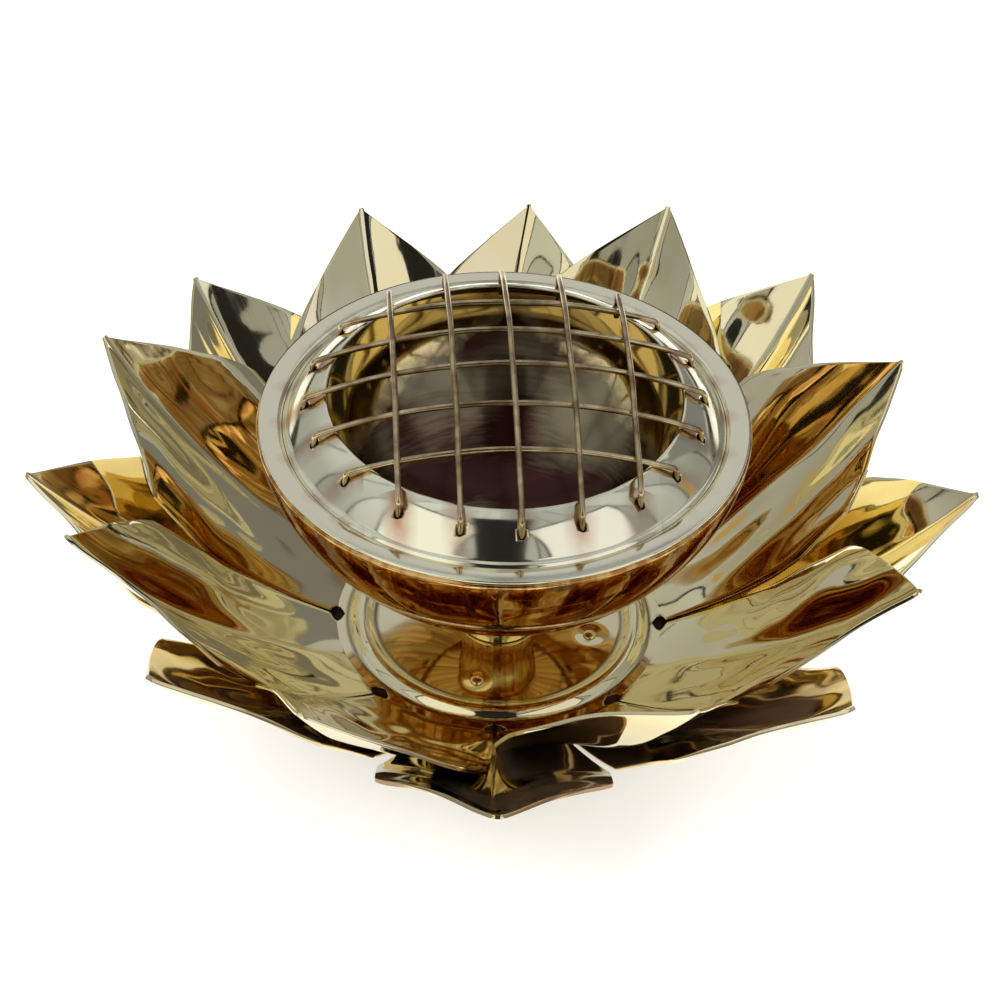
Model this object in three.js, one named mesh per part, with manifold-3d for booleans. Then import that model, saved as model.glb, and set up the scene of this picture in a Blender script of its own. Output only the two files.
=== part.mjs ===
// Charcoal incense burner in the form of an open lotus, in millimetres, +Z up, standing on z = 0.
// Two pressed sheets of eight creased petals stand on a spun foot. A stem carries the charcoal bowl,
// and a loose ring with a grid of arched wires closes the bowl.
import * as THREE from "three";
import { mergeVertices } from "three/addons/utils/BufferGeometryUtils.js";
import Module from "manifold-3d";

const wasm = await Module();
wasm.setup();

// Sizes of the pressed sheets.
const SHEET = 0.8;
const PETALS = 8;
const HUB_RADIUS = 34;
const PETAL_LENGTH = 74;
const PETAL_HALF_WIDTH = 23;
const PETAL_TAPER = 29.5;
const TAPER_POWER = 1.2;
const TIP_HALF_WIDTH = 0.5;
const CREASE_RISE = 0.45;
const CREASE_REACH = 12;
const CREASE_ROUND = 1.2;
const CREASE_FULL_AT = 45;
const DISH_REACH = 25;
const SLIT = 0.9;
const NOTCH_ACROSS = 5.2;
const NOTCH_ALONG = 2.8;
// Slope of a petal at the hub and at the tip in degrees. Each petal is also bent a little by hand: leans
// are degrees further up, sways are millimetres that its tip is pushed sideways, and wings are the shares
// of the crease's rise that its two halves have. All run anticlockwise, from the petal on the right.
const OUTER_SLOPES = [17, 49];
const INNER_SLOPES = [24, 56];
const OUTER_LEANS = [-2, 7, -1, -5, -2, 3, -1, 1];
const INNER_LEANS = [4, 5, -5, -2, -1, 1, 3, -1];
const OUTER_SWAYS = [2, -1.5, -4, -2, 1, 0, 1, 1];
const INNER_SWAYS = [-6, -1.5, -3, 0, -4.5, -2.5, 4.5, -4.5];
const OUTER_WINGS = [[1, 1], [1, 1], [1, 0.7], [1, 1], [1, 1], [0.4, 1], [1, 1], [1, 0.4]];
const INNER_WINGS = [[0.5, 1], [1, 1], [1, 1], [1, 1], [1, 1], [1, 0.3], [1.45, 0.55], [1, 1]];
const SWAY_FROM = 30;
const BEAD_RADIUS = 28.7;
const BEAD_WIDTH = 6;
const BEAD_HEIGHT = 1.7;

// Sizes of the foot, its screw and the rivets.
const FOOT_HEIGHT = 10;
const FOOT_RADIUS = 30;
const FOOT_TOP_RADIUS = 25;
const FOOT_SHEET = 1;
const FOOT_LIP = 3;
const RIVETS = 4;
const RIVET_CIRCLE = 19.6;
const RIVET_RADIUS = 0.8;
const RIVET_HEAD_RADIUS = 1.4;
const RIVET_HEAD_HEIGHT = 0.7;
const RIVET_FIRST_TURN = 12;
const DIMPLE_RADIUS = 3.8;
const DIMPLE_DEPTH = 0.25;
const SCREW_RADIUS = 2;
const SCREW_HEAD_RADIUS = 3.7;
const SCREW_HEAD_HEIGHT = 2.4;
const SCREW_INTO_STEM = 8;
const SLOT_WIDTH = 0.9;
const SLOT_DEPTH = 1;
const WASHER_RADIUS = 5.2;
const WASHER_THICK = 0.9;

// Sizes of the stem and the bowl.
const STEM_HEIGHT = 15;
const STEM_RADIUS = 7.5;
const STEM_FLARE = 0.7;
const BORE_DEPTH = 10;
const RIM_RADIUS = 50;
const RIM_WIDTH = 3.6;
const RIM_EDGE = 0.5;
const BOWL_HEIGHT = 38;
const BOWL_WALL = 1.6;
const BOWL_SEAT_RADIUS = 12;
const BOWL_FULLNESS = 1.6;
const TURNED_LINE_DROP = 5;
const TURNED_LINE_DEPTH = 0.3;

// Sizes of the screen lid.
const LID_TURN = 4;
const RING_SHEET = 0.8;
const RING_INSET = 0.4;
const RING_GROOVE = 0.8;
const GROOVE_HALF_WIDTH = 1.1;
const CONE_BULGE = 0.9;
const CONE_WIDTH = 7.9;
const RING_RISE = 7;
const WIRE_RADIUS = 0.6;
const WIRES = 5;
const WIRE_MARGIN = 12.2;
const LENGTHWISE_ASIDE = 1.2;
const HOLE_INSET = 4.4;
const DOME_RADIUS = 100;
const WIRE_LIFT = 2.2;
const WIRE_BEND = 1.6;
const WIRE_BELOW = 1.4;

// Clearances between pieces that fit together.
const HOLE_CLEARANCE = 0.15;
const WIRE_CLEARANCE = 0.3;
const LID_CLEARANCE = 0.5;
const WIRE_LAP = 0.02;

// Facets of round pieces and of one petal.
const ROUND = 36;
const SMALL_ROUND = 10;
const WIRE_SIDES = 6;
const PETAL_ROWS = 9;
const PETAL_COLUMNS = [-1, -0.5, -0.08, 0.08, 0.5, 1];

// Heights that follow from the stack of pieces.
const OUTER_SHEET_Z = FOOT_HEIGHT;
const INNER_SHEET_Z = OUTER_SHEET_Z + SHEET;
const FLOOR_Z = INNER_SHEET_Z + SHEET;
const BOWL_Z = FLOOR_Z + STEM_HEIGHT;
const RIM_Z = BOWL_Z + BOWL_HEIGHT;
const BORE_RADIUS = SCREW_RADIUS + HOLE_CLEARANCE;
const RIVET_HOLE = RIVET_RADIUS + HOLE_CLEARANCE;

const rad = THREE.MathUtils.degToRad;
const smooth = (t) => THREE.MathUtils.smoothstep(t, 0, 1);

// A closed triangle geometry as a solid for joining and cutting.
function toSolid(geometry) {
  const bare = new THREE.BufferGeometry().setAttribute("position", geometry.getAttribute("position"));
  bare.setIndex(geometry.index);
  const merged = mergeVertices(bare, 1e-4);
  return new wasm.Manifold(
    new wasm.Mesh({
      numProp: 3,
      vertProperties: new Float32Array(merged.attributes.position.array),
      triVerts: new Uint32Array(merged.index.array),
    }),
  );
}

// A solid back as a geometry.
function toGeometry(solid) {
  const mesh = solid.getMesh();
  const count = mesh.vertProperties.length / mesh.numProp;
  const positions = new Float32Array(count * 3);
  for (let i = 0; i < count; i++) {
    positions.set(mesh.vertProperties.subarray(i * mesh.numProp, i * mesh.numProp + 3), i * 3);
  }
  const geometry = new THREE.BufferGeometry();
  geometry.setAttribute("position", new THREE.BufferAttribute(positions, 3));
  geometry.setIndex(new THREE.BufferAttribute(new Uint32Array(mesh.triVerts), 1));
  geometry.computeVertexNormals();
  return geometry;
}

// A profile of [radius, height] pairs turned about the Z axis.
function turned(profile, segments = ROUND) {
  const points = profile.map(([r, z]) => new THREE.Vector2(r, z));
  return new THREE.LatheGeometry(points, segments).rotateX(Math.PI / 2);
}

// A closed profile of even thickness round a centre line of [radius, height] pairs, seen on its right first.
function sheetProfile(line, thickness) {
  const side = (sign) =>
    line.map(([r, z], i) => {
      const [r0, z0] = line[Math.max(i - 1, 0)];
      const [r1, z1] = line[Math.min(i + 1, line.length - 1)];
      const length = Math.hypot(r1 - r0, z1 - z0);
      const half = (sign * thickness) / 2;
      return [r - ((z1 - z0) / length) * half, z + ((r1 - r0) / length) * half];
    });
  const over = side(1);
  const under = side(-1);
  return [...under, ...over.reverse(), under[0]];
}

// A plain upright peg, used for holes.
function peg(radius, bottom, top, x, y, segments = SMALL_ROUND) {
  const height = top - bottom;
  const geometry = new THREE.CylinderGeometry(radius, radius, height, segments);
  return geometry.rotateX(Math.PI / 2).translate(x, y, (top + bottom) / 2);
}

// A point on a circle about the Z axis.
function onCircle(radius, degrees) {
  return [radius * Math.cos(rad(degrees)), radius * Math.sin(rad(degrees))];
}

// Turns of the rivets about the axis, in degrees.
const rivetTurns = Array.from({ length: RIVETS }, (_, i) => -RIVET_FIRST_TURN + (i * 360) / RIVETS);

function cutAll(solid, tools) {
  return tools.reduce((left, tool) => left.subtract(toSolid(tool)), solid);
}

// Holes for the rivets through one level of the stack.
function rivetHoles(bottom, top) {
  return rivetTurns.map((turn) => peg(RIVET_HOLE, bottom, top, ...onCircle(RIVET_CIRCLE, turn)));
}

// Side view of a petal: an arc whose slope grows evenly from the hub to the tip.
function petalArc(q, form) {
  const from = rad(form.hubSlope);
  const radius = PETAL_LENGTH / rad(form.tipSlope - form.hubSlope);
  const slope = from + Math.max(q, 0) / radius;
  const r = form.hub + radius * (Math.sin(slope) - Math.sin(from)) + Math.min(q, 0);
  const z = radius * (Math.cos(from) - Math.cos(slope));
  return { r, z, slope: q < 0 ? 0 : slope };
}

// Height of a petal's halves above its midrib: a V with a rounded valley, whose sides level out further from
// the midrib.
function creaseHeight(q, w, wings) {
  const v = Math.sqrt(w * w + CREASE_ROUND * CREASE_ROUND) - CREASE_ROUND;
  const rise = (CREASE_RISE * v) / (1 + (v / CREASE_REACH) ** 4) ** 0.25;
  return smooth(q / CREASE_FULL_AT) * rise * wings[w < 0 ? 0 : 1];
}

// Half the width of a petal at a distance q from the hub: bounded by the slits, then by its pointed outline.
function petalHalfWidth(q, form) {
  const { r, slope } = petalArc(q, form);
  const lean = Math.sin(slope) * creaseHeight(q, PETAL_HALF_WIDTH, [1, 1]);
  const sector = (r - lean) * Math.tan(Math.PI / PETALS) - SLIT / 2;
  const toTip = Math.max(q - (PETAL_LENGTH - PETAL_TAPER), 0) / PETAL_TAPER;
  const outline = PETAL_HALF_WIDTH * (1 - toTip ** TAPER_POWER);
  return Math.max(Math.min(sector, outline), TIP_HALF_WIDTH);
}

// Middle of the sheet at distance q from the hub and share v of the half width. Near the hub the sheet is
// a dish turned about the axis, further out it is bent about a straight line.
function petalPoint(q, v, form) {
  const { r, z, slope } = petalArc(q, form);
  const w = v * petalHalfWidth(q, form);
  const h = creaseHeight(q, w, form.wings);
  const away = r - Math.sin(slope) * h;
  const up = z + Math.cos(slope) * h;
  const turn = Math.atan2(w, away);
  const straight = smooth(q / DISH_REACH);
  const x = THREE.MathUtils.lerp(away * Math.cos(turn), away, straight);
  const y = THREE.MathUtils.lerp(away * Math.sin(turn), w, straight);
  const bent = Math.max(q - SWAY_FROM, 0) / (PETAL_LENGTH - SWAY_FROM);
  return new THREE.Vector3(x, y + form.sway * bent * bent, up);
}

// One petal as a closed grid of even thickness. Its root is a little thinner and lies inside the hub.
function petal(form) {
  const root = -2;
  const across = PETAL_COLUMNS.length;
  const positions = [];
  const step = 0.05;
  for (const side of [1, -1]) {
    for (let i = 0; i <= PETAL_ROWS; i++) {
      const q = i === 0 ? root : (PETAL_LENGTH * (i - 1)) / (PETAL_ROWS - 1);
      for (const v of PETAL_COLUMNS) {
        const at = Math.min(Math.max(q, root + step), PETAL_LENGTH - step);
        const along = petalPoint(at + step, v, form).sub(petalPoint(at - step, v, form));
        const over = petalPoint(q, v + step, form).sub(petalPoint(q, v - step, form));
        const normal = along.cross(over).normalize();
        const half = (SHEET / 2) * (i < 1 ? 0.7 : 0.96);
        const p = petalPoint(q, v, form).addScaledVector(normal, side * half);
        positions.push(p.x, p.y, p.z + SHEET / 2);
      }
    }
  }
  const layer = (PETAL_ROWS + 1) * across;
  const at = (side, i, j) => side * layer + i * across + j;
  const index = [];
  const quad = (a, b, c, d) => index.push(a, b, c, a, c, d);
  for (let i = 0; i < PETAL_ROWS; i++) {
    for (let j = 0; j < across - 1; j++) {
      quad(at(0, i, j), at(0, i + 1, j), at(0, i + 1, j + 1), at(0, i, j + 1));
      quad(at(1, i, j), at(1, i, j + 1), at(1, i + 1, j + 1), at(1, i + 1, j));
    }
    quad(at(0, i, 0), at(1, i, 0), at(1, i + 1, 0), at(0, i + 1, 0));
    const last = across - 1;
    quad(at(0, i, last), at(0, i + 1, last), at(1, i + 1, last), at(1, i, last));
  }
  for (let j = 0; j < across - 1; j++) {
    quad(at(0, 0, j), at(0, 0, j + 1), at(1, 0, j + 1), at(1, 0, j));
    quad(at(0, PETAL_ROWS, j), at(1, PETAL_ROWS, j), at(1, PETAL_ROWS, j + 1), at(0, PETAL_ROWS, j + 1));
  }
  const geometry = new THREE.BufferGeometry();
  geometry.setAttribute("position", new THREE.Float32BufferAttribute(positions, 3));
  geometry.setIndex(index);
  return geometry;
}

// Centre line of the annular bead that is pressed up into the hub of the inner sheet.
function beadLine() {
  const steps = 5;
  const line = [];
  for (let i = 0; i <= steps; i++) {
    const across = i / steps - 0.5;
    const lift = BEAD_HEIGHT * Math.cos(Math.PI * across) ** 2;
    line.push([BEAD_RADIUS + BEAD_WIDTH * across, SHEET / 2 + lift]);
  }
  return line;
}

// A whole pressed sheet: hub, petals, the oval notches that end the slits, and the rivet holes.
function lotusSheet({ hub, slopes, leans, sways, wings, bottom, firstTurn, bead }) {
  const hubLine = [[BORE_RADIUS, SHEET / 2], ...bead, [hub, SHEET / 2]];
  const cuts = rivetHoles(-SHEET, SHEET * 3);
  let sheet = toSolid(turned(sheetProfile(hubLine, SHEET)));
  for (let i = 0; i < PETALS; i++) {
    const lean = leans[i % leans.length];
    const form = {
      hub,
      hubSlope: slopes[0] + lean,
      tipSlope: slopes[1] + lean,
      sway: sways[i % sways.length],
      wings: wings[i % wings.length],
    };
    const turn = firstTurn + (i * 360) / PETALS;
    sheet = sheet.add(toSolid(petal(form).rotateZ(rad(turn))));
    const notch = new THREE.CylinderGeometry(0.5, 0.5, SHEET * 8, SMALL_ROUND).rotateX(Math.PI / 2);
    notch.scale(NOTCH_ALONG, NOTCH_ACROSS, 1).translate(hub, 0, 0);
    cuts.push(notch.rotateZ(rad(turn + 180 / PETALS)));
  }
  return cutAll(sheet, cuts).translate([0, 0, bottom]);
}

// Shallow dish pressed into the floor round a rivet, with a flat for the rivet's head.
function dimple(turn) {
  const profile = [
    [0, FLOOR_Z - DIMPLE_DEPTH],
    [RIVET_HEAD_RADIUS, FLOOR_Z - DIMPLE_DEPTH],
    [DIMPLE_RADIUS, FLOOR_Z],
    [DIMPLE_RADIUS, FLOOR_Z + SHEET],
    [0, FLOOR_Z + SHEET],
  ];
  return turned(profile, SMALL_ROUND).translate(...onCircle(RIVET_CIRCLE, turn), 0);
}

// The outer sheet bends up just outside the inner one's hub, so that the two lie close together.
function outerPetals() {
  const sheet = lotusSheet({
    hub: HUB_RADIUS + SHEET,
    slopes: OUTER_SLOPES,
    leans: OUTER_LEANS,
    sways: OUTER_SWAYS,
    wings: OUTER_WINGS,
    bottom: OUTER_SHEET_Z,
    firstTurn: 0,
    bead: [],
  });
  return toGeometry(sheet);
}

function innerPetals() {
  const sheet = lotusSheet({
    hub: HUB_RADIUS,
    slopes: INNER_SLOPES,
    leans: INNER_LEANS,
    sways: INNER_SWAYS,
    wings: INNER_WINGS,
    bottom: INNER_SHEET_Z,
    firstTurn: 180 / PETALS,
    bead: beadLine(),
  });
  return toGeometry(cutAll(sheet, rivetTurns.map(dimple)));
}

// Spun bell foot: flat top, curved skirt and a turned-in lip to stand on.
function foot() {
  const half = FOOT_SHEET / 2;
  const steps = 4;
  const drop = FOOT_HEIGHT - FOOT_SHEET;
  const run = FOOT_RADIUS - half - FOOT_TOP_RADIUS;
  const line = [
    [FOOT_RADIUS - FOOT_LIP, half],
    [FOOT_RADIUS - FOOT_LIP / 2, half],
    [FOOT_RADIUS - FOOT_SHEET, half],
  ];
  for (let i = 1; i <= steps; i++) {
    const t = rad((90 * i) / steps);
    line.push([FOOT_RADIUS - half - run * (1 - Math.cos(t)), half + drop * Math.sin(t)]);
  }
  line.push([BORE_RADIUS, FOOT_HEIGHT - half]);
  const body = toSolid(turned(sheetProfile(line, FOOT_SHEET)));
  return toGeometry(cutAll(body, rivetHoles(FOOT_HEIGHT - FOOT_SHEET * 2, FOOT_HEIGHT + FOOT_SHEET)));
}

// Rivet through foot and both sheets: domed head in its dimple, formed tail under the foot's top.
function rivet(turn) {
  const seat = FLOOR_Z - DIMPLE_DEPTH;
  const under = FOOT_HEIGHT - FOOT_SHEET;
  const profile = [
    [0, under - RIVET_HEAD_HEIGHT],
    [RIVET_HEAD_RADIUS * 0.7, under - RIVET_HEAD_HEIGHT],
    [RIVET_HEAD_RADIUS, under - RIVET_HEAD_HEIGHT * 0.6],
    [RIVET_HEAD_RADIUS, under],
    [RIVET_RADIUS, under],
    [RIVET_RADIUS, seat],
  ];
  const steps = 3;
  for (let i = 0; i <= steps; i++) {
    const t = rad((90 * i) / steps);
    profile.push([RIVET_HEAD_RADIUS * Math.cos(t), seat + RIVET_HEAD_HEIGHT * Math.sin(t)]);
  }
  return turned(profile, SMALL_ROUND).translate(...onCircle(RIVET_CIRCLE, turn), 0);
}

// Washer between the foot's top and the screw's head.
function footWasher() {
  const top = FOOT_HEIGHT - FOOT_SHEET;
  const profile = [
    [BORE_RADIUS, top - WASHER_THICK],
    [WASHER_RADIUS, top - WASHER_THICK],
    [WASHER_RADIUS, top],
    [BORE_RADIUS, top],
    [BORE_RADIUS, top - WASHER_THICK],
  ];
  return turned(profile, SMALL_ROUND * 2);
}

// Slotted screw from beneath: it draws washer, foot and both sheets up against the stem.
function footScrew() {
  const seat = FOOT_HEIGHT - FOOT_SHEET - WASHER_THICK;
  const bottom = seat - SCREW_HEAD_HEIGHT;
  const profile = [
    [0, bottom],
    [SCREW_HEAD_RADIUS * 0.8, bottom],
    [SCREW_HEAD_RADIUS, bottom + SCREW_HEAD_HEIGHT * 0.4],
    [SCREW_HEAD_RADIUS, seat],
    [SCREW_RADIUS, seat],
    [SCREW_RADIUS, FLOOR_Z + SCREW_INTO_STEM - SCREW_RADIUS / 2],
    [SCREW_RADIUS / 2, FLOOR_Z + SCREW_INTO_STEM],
    [0, FLOOR_Z + SCREW_INTO_STEM],
  ];
  const slot = new THREE.BoxGeometry(SCREW_HEAD_RADIUS * 3, SLOT_WIDTH, SLOT_DEPTH * 2);
  const body = toSolid(turned(profile, SMALL_ROUND * 2));
  return toGeometry(cutAll(body, [slot.translate(0, 0, bottom)]));
}

// Waisted stem with a blind bore for the screw, its top soldered to the bowl.
function stem() {
  const profile = [
    [0, FLOOR_Z + BORE_DEPTH],
    [BORE_RADIUS, FLOOR_Z + BORE_DEPTH],
    [BORE_RADIUS, FLOOR_Z],
  ];
  const steps = 6;
  for (let i = 0; i <= steps; i++) {
    const t = i / steps;
    const flare = STEM_FLARE * Math.cos(Math.PI * t) ** 2;
    profile.push([STEM_RADIUS + flare, FLOOR_Z + STEM_HEIGHT * t]);
  }
  profile.push([0, BOWL_Z]);
  return turned(profile, SMALL_ROUND * 2);
}

// Quarter of a superellipse from [inner, low] to [outer, high], as [radius, height] pairs.
function bowlSide(inner, outer, low, high, steps) {
  const side = [];
  for (let i = 0; i <= steps; i++) {
    const t = rad((90 * i) / steps);
    const r = inner + (outer - inner) * Math.sin(t) ** (2 / BOWL_FULLNESS);
    side.push([r, high - (high - low) * Math.cos(t) ** (2 / BOWL_FULLNESS)]);
  }
  return side;
}

// Charcoal bowl: a flat seat, a round side that grows thicker to the rim, and one turned line outside.
function bowl() {
  const steps = 8;
  const lineZ = RIM_Z - TURNED_LINE_DROP;
  const outside = bowlSide(BOWL_SEAT_RADIUS, RIM_RADIUS, BOWL_Z, RIM_Z - RIM_EDGE, steps);
  const seatInside = BOWL_SEAT_RADIUS - BOWL_WALL;
  const inside = bowlSide(seatInside, RIM_RADIUS - RIM_WIDTH, BOWL_Z + BOWL_WALL, RIM_Z, steps);
  const under = outside.filter(([, z]) => z < lineZ - TURNED_LINE_DEPTH);
  const above = outside.filter(([, z]) => z > lineZ + TURNED_LINE_DEPTH);
  const [r0, z0] = under[under.length - 1];
  const [r1, z1] = above[0];
  const lineEdge = (z) => [r0 + ((r1 - r0) * (z - z0)) / (z1 - z0), z];
  const groove = lineEdge(lineZ);
  groove[0] -= TURNED_LINE_DEPTH;
  const profile = [
    [0, BOWL_Z],
    ...under,
    lineEdge(lineZ - TURNED_LINE_DEPTH),
    groove,
    lineEdge(lineZ + TURNED_LINE_DEPTH),
    ...above,
    [RIM_RADIUS - RIM_EDGE, RIM_Z],
    ...inside.reverse(),
    [0, BOWL_Z + BOWL_WALL],
  ];
  return turned(profile);
}

// Centre line of the screen ring, from the opening out to its edge: a bulged cone, a groove that drops
// into the bowl's mouth and keeps the lid central, and a flat flange on the rim.
const GROOVE_RADIUS = RIM_RADIUS - RIM_WIDTH - LID_CLEARANCE - GROOVE_HALF_WIDTH;
const CONE_FOOT = GROOVE_RADIUS - GROOVE_HALF_WIDTH;
const OPENING_RADIUS = CONE_FOOT - CONE_WIDTH;
const HOLE_CIRCLE = OPENING_RADIUS + HOLE_INSET;
const WIRE_PITCH = (2 * (OPENING_RADIUS - WIRE_MARGIN)) / (WIRES - 1);
const FLANGE_Z = RIM_Z + RING_SHEET / 2;

function coneHeight(r) {
  const t = (r - OPENING_RADIUS) / CONE_WIDTH;
  return FLANGE_Z + RING_RISE * (1 - t) + CONE_BULGE * Math.sin(Math.PI * t);
}

function ringLine() {
  const line = [];
  const steps = 4;
  for (let i = 0; i < steps; i++) {
    const r = OPENING_RADIUS + (CONE_WIDTH * i) / steps;
    line.push([r, coneHeight(r)]);
  }
  for (let i = 0; i <= steps; i++) {
    const across = (2 * i) / steps - 1;
    const dip = RING_GROOVE * Math.cos((Math.PI / 2) * across) ** 2;
    line.push([GROOVE_RADIUS + GROOVE_HALF_WIDTH * across, FLANGE_Z - dip]);
  }
  line.push([RIM_RADIUS - RING_INSET, FLANGE_Z]);
  return line;
}

// Offsets of the wires from the lid's middle.
const wireOffsets = Array.from({ length: WIRES }, (_, i) => (i - (WIRES - 1) / 2) * WIRE_PITCH);
const lengthwiseOffsets = wireOffsets.map((offset) => offset + LENGTHWISE_ASIDE);

// Distance from a wire's middle to its ends on the circle of holes.
function wireEnd(offset) {
  return Math.sqrt(HOLE_CIRCLE ** 2 - offset ** 2);
}

// Ring with one hole for each wire end.
function screenRing() {
  const hole = (x, y) => peg(WIRE_RADIUS + WIRE_CLEARANCE, RIM_Z, RIM_Z + RING_RISE * 2, x, y);
  const holes = [-1, 1].flatMap((sign) => [
    ...wireOffsets.map((offset) => hole(sign * wireEnd(offset), offset)),
    ...lengthwiseOffsets.map((offset) => hole(offset, sign * wireEnd(offset))),
  ]);
  return toGeometry(cutAll(toSolid(turned(sheetProfile(ringLine(), RING_SHEET))), holes));
}

// Path of one wire in its own upright plane, as [along, height] pairs: a leg up through the ring, a bend,
// an arc on the dome, and the same again on the far side.
function wirePath(offset, lift) {
  const end = wireEnd(offset);
  const arcRadius = Math.sqrt(DOME_RADIUS ** 2 - offset ** 2);
  const domeBase = Math.sqrt(DOME_RADIUS ** 2 - HOLE_CIRCLE ** 2);
  const holeZ = coneHeight(HOLE_CIRCLE) + RING_SHEET / 2;
  const arcZ = (u) => holeZ + lift + Math.sqrt(arcRadius ** 2 - u ** 2) - domeBase;
  const fall = Math.asin(end / arcRadius);
  const tangent = WIRE_BEND * Math.tan((Math.PI / 2 - fall) / 2);
  const bendStart = end - tangent * Math.cos(fall);
  const bendEnd = arcZ(end) - tangent;
  const half = [];
  const arcSteps = 4;
  for (let i = 1; i <= arcSteps; i++) {
    const u = (bendStart * i) / arcSteps;
    half.push([u, arcZ(u)]);
  }
  const bendSteps = 3;
  for (let i = 1; i <= bendSteps; i++) {
    const t = i / bendSteps;
    const from = (1 - t) ** 2;
    const pull = 2 * t * (1 - t);
    const to = t * t;
    half.push([
      from * bendStart + pull * end + to * end,
      from * arcZ(bendStart) + pull * arcZ(end) + to * bendEnd,
    ]);
  }
  half.push([end, coneHeight(HOLE_CIRCLE) - RING_SHEET - WIRE_BELOW]);
  const other = half.map(([u, z]) => [-u, z]).reverse();
  return [...other, [0, arcZ(0)], ...half];
}

// Round wire along a path in the plane y = offset, with mitred joints and flat ends.
function wire(offset, lift) {
  const path = wirePath(offset, lift);
  const positions = [];
  path.forEach(([u, z], i) => {
    const [u0, z0] = path[Math.max(i - 1, 0)];
    const [u1, z1] = path[Math.min(i + 1, path.length - 1)];
    const before = Math.atan2(z - z0, u - u0);
    const after = Math.atan2(z1 - z, u1 - u);
    const inner = i > 0 && i < path.length - 1;
    const heading = inner ? (before + after) / 2 : Math.atan2(z1 - z0, u1 - u0);
    const mitre = inner ? Math.cos((after - before) / 2) : 1;
    for (let k = 0; k < WIRE_SIDES; k++) {
      const t = (2 * Math.PI * (k + 0.5)) / WIRE_SIDES;
      const rise = (WIRE_RADIUS * Math.cos(t)) / mitre;
      const x = u - Math.sin(heading) * rise;
      positions.push(x, offset + WIRE_RADIUS * Math.sin(t), z + Math.cos(heading) * rise);
    }
  });
  const index = [];
  const at = (i, k) => i * WIRE_SIDES + (k % WIRE_SIDES);
  for (let i = 0; i < path.length - 1; i++) {
    for (let k = 0; k < WIRE_SIDES; k++) {
      index.push(at(i, k), at(i + 1, k + 1), at(i, k + 1), at(i, k), at(i + 1, k), at(i + 1, k + 1));
    }
  }
  const last = path.length - 1;
  for (let k = 1; k < WIRE_SIDES - 1; k++) {
    index.push(at(0, 0), at(0, k), at(0, k + 1));
    index.push(at(last, 0), at(last, k + 1), at(last, k));
  }
  const geometry = new THREE.BufferGeometry();
  geometry.setAttribute("position", new THREE.Float32BufferAttribute(positions, 3));
  geometry.setIndex(index);
  return geometry;
}

// Height of the lengthwise wires over the crosswise ones. The dome is steepest at the outermost crossing,
// and there the two layers just touch.
function layerLift() {
  const along = lengthwiseOffsets[WIRES - 1];
  const across = wireOffsets[WIRES - 1];
  const cornerHeight = Math.sqrt(DOME_RADIUS ** 2 - along ** 2 - across ** 2);
  return ((2 * WIRE_RADIUS + WIRE_LAP) * DOME_RADIUS) / cornerHeight;
}

const FINISHES = {
  brass: { color: "#d9b45c", roughness: 0.12, metalness: 1 },
  sootyBrass: { color: "#b58a46", roughness: 0.28, metalness: 1 },
  plated: { color: "#cfc6b8", roughness: 0.14, metalness: 1 },
  bronzeWire: { color: "#a07a4c", roughness: 0.3, metalness: 1 },
  steel: { color: "#a9a9a6", roughness: 0.35, metalness: 1 },
};

function piece(name, geometry, finish) {
  geometry.computeVertexNormals();
  const mesh = new THREE.Mesh(geometry, new THREE.MeshStandardMaterial(FINISHES[finish]));
  mesh.name = name;
  return mesh;
}

const burner = new THREE.Group();
burner.name = "charcoal_incense_burner";
burner.add(piece("foot", foot(), "brass"));
burner.add(piece("outer_petals", outerPetals(), "brass"));
burner.add(piece("inner_petals", innerPetals(), "brass"));
rivetTurns.forEach((turn, i) => burner.add(piece(`rivet_${i + 1}`, rivet(turn), "brass")));
burner.add(piece("foot_washer", footWasher(), "steel"));
burner.add(piece("foot_screw", footScrew(), "steel"));
burner.add(piece("stem", stem(), "brass"));
burner.add(piece("bowl", bowl(), "sootyBrass"));

// The lid lies loose on the rim, turned a little against the lotus.
const lid = new THREE.Group();
lid.name = "screen_lid";
lid.rotation.z = rad(LID_TURN);
lid.add(piece("screen_ring", screenRing(), "plated"));
wireOffsets.forEach((offset, i) => {
  lid.add(piece(`screen_wire_cross_${i + 1}`, wire(offset, WIRE_LIFT), "bronzeWire"));
  const lengthwise = wire(-lengthwiseOffsets[i], WIRE_LIFT + layerLift()).rotateZ(Math.PI / 2);
  lid.add(piece(`screen_wire_long_${i + 1}`, lengthwise, "bronzeWire"));
});
burner.add(lid);

export default burner;
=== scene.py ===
"""Charcoal incense burner: an open lotus of polished brass sheet, a turned charcoal bowl on a stem,
and a loose plated ring that carries a domed grid of bronze wire.
"""

import math

import bmesh
import bpy
from mathutils import Matrix, Quaternion, Vector


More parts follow.
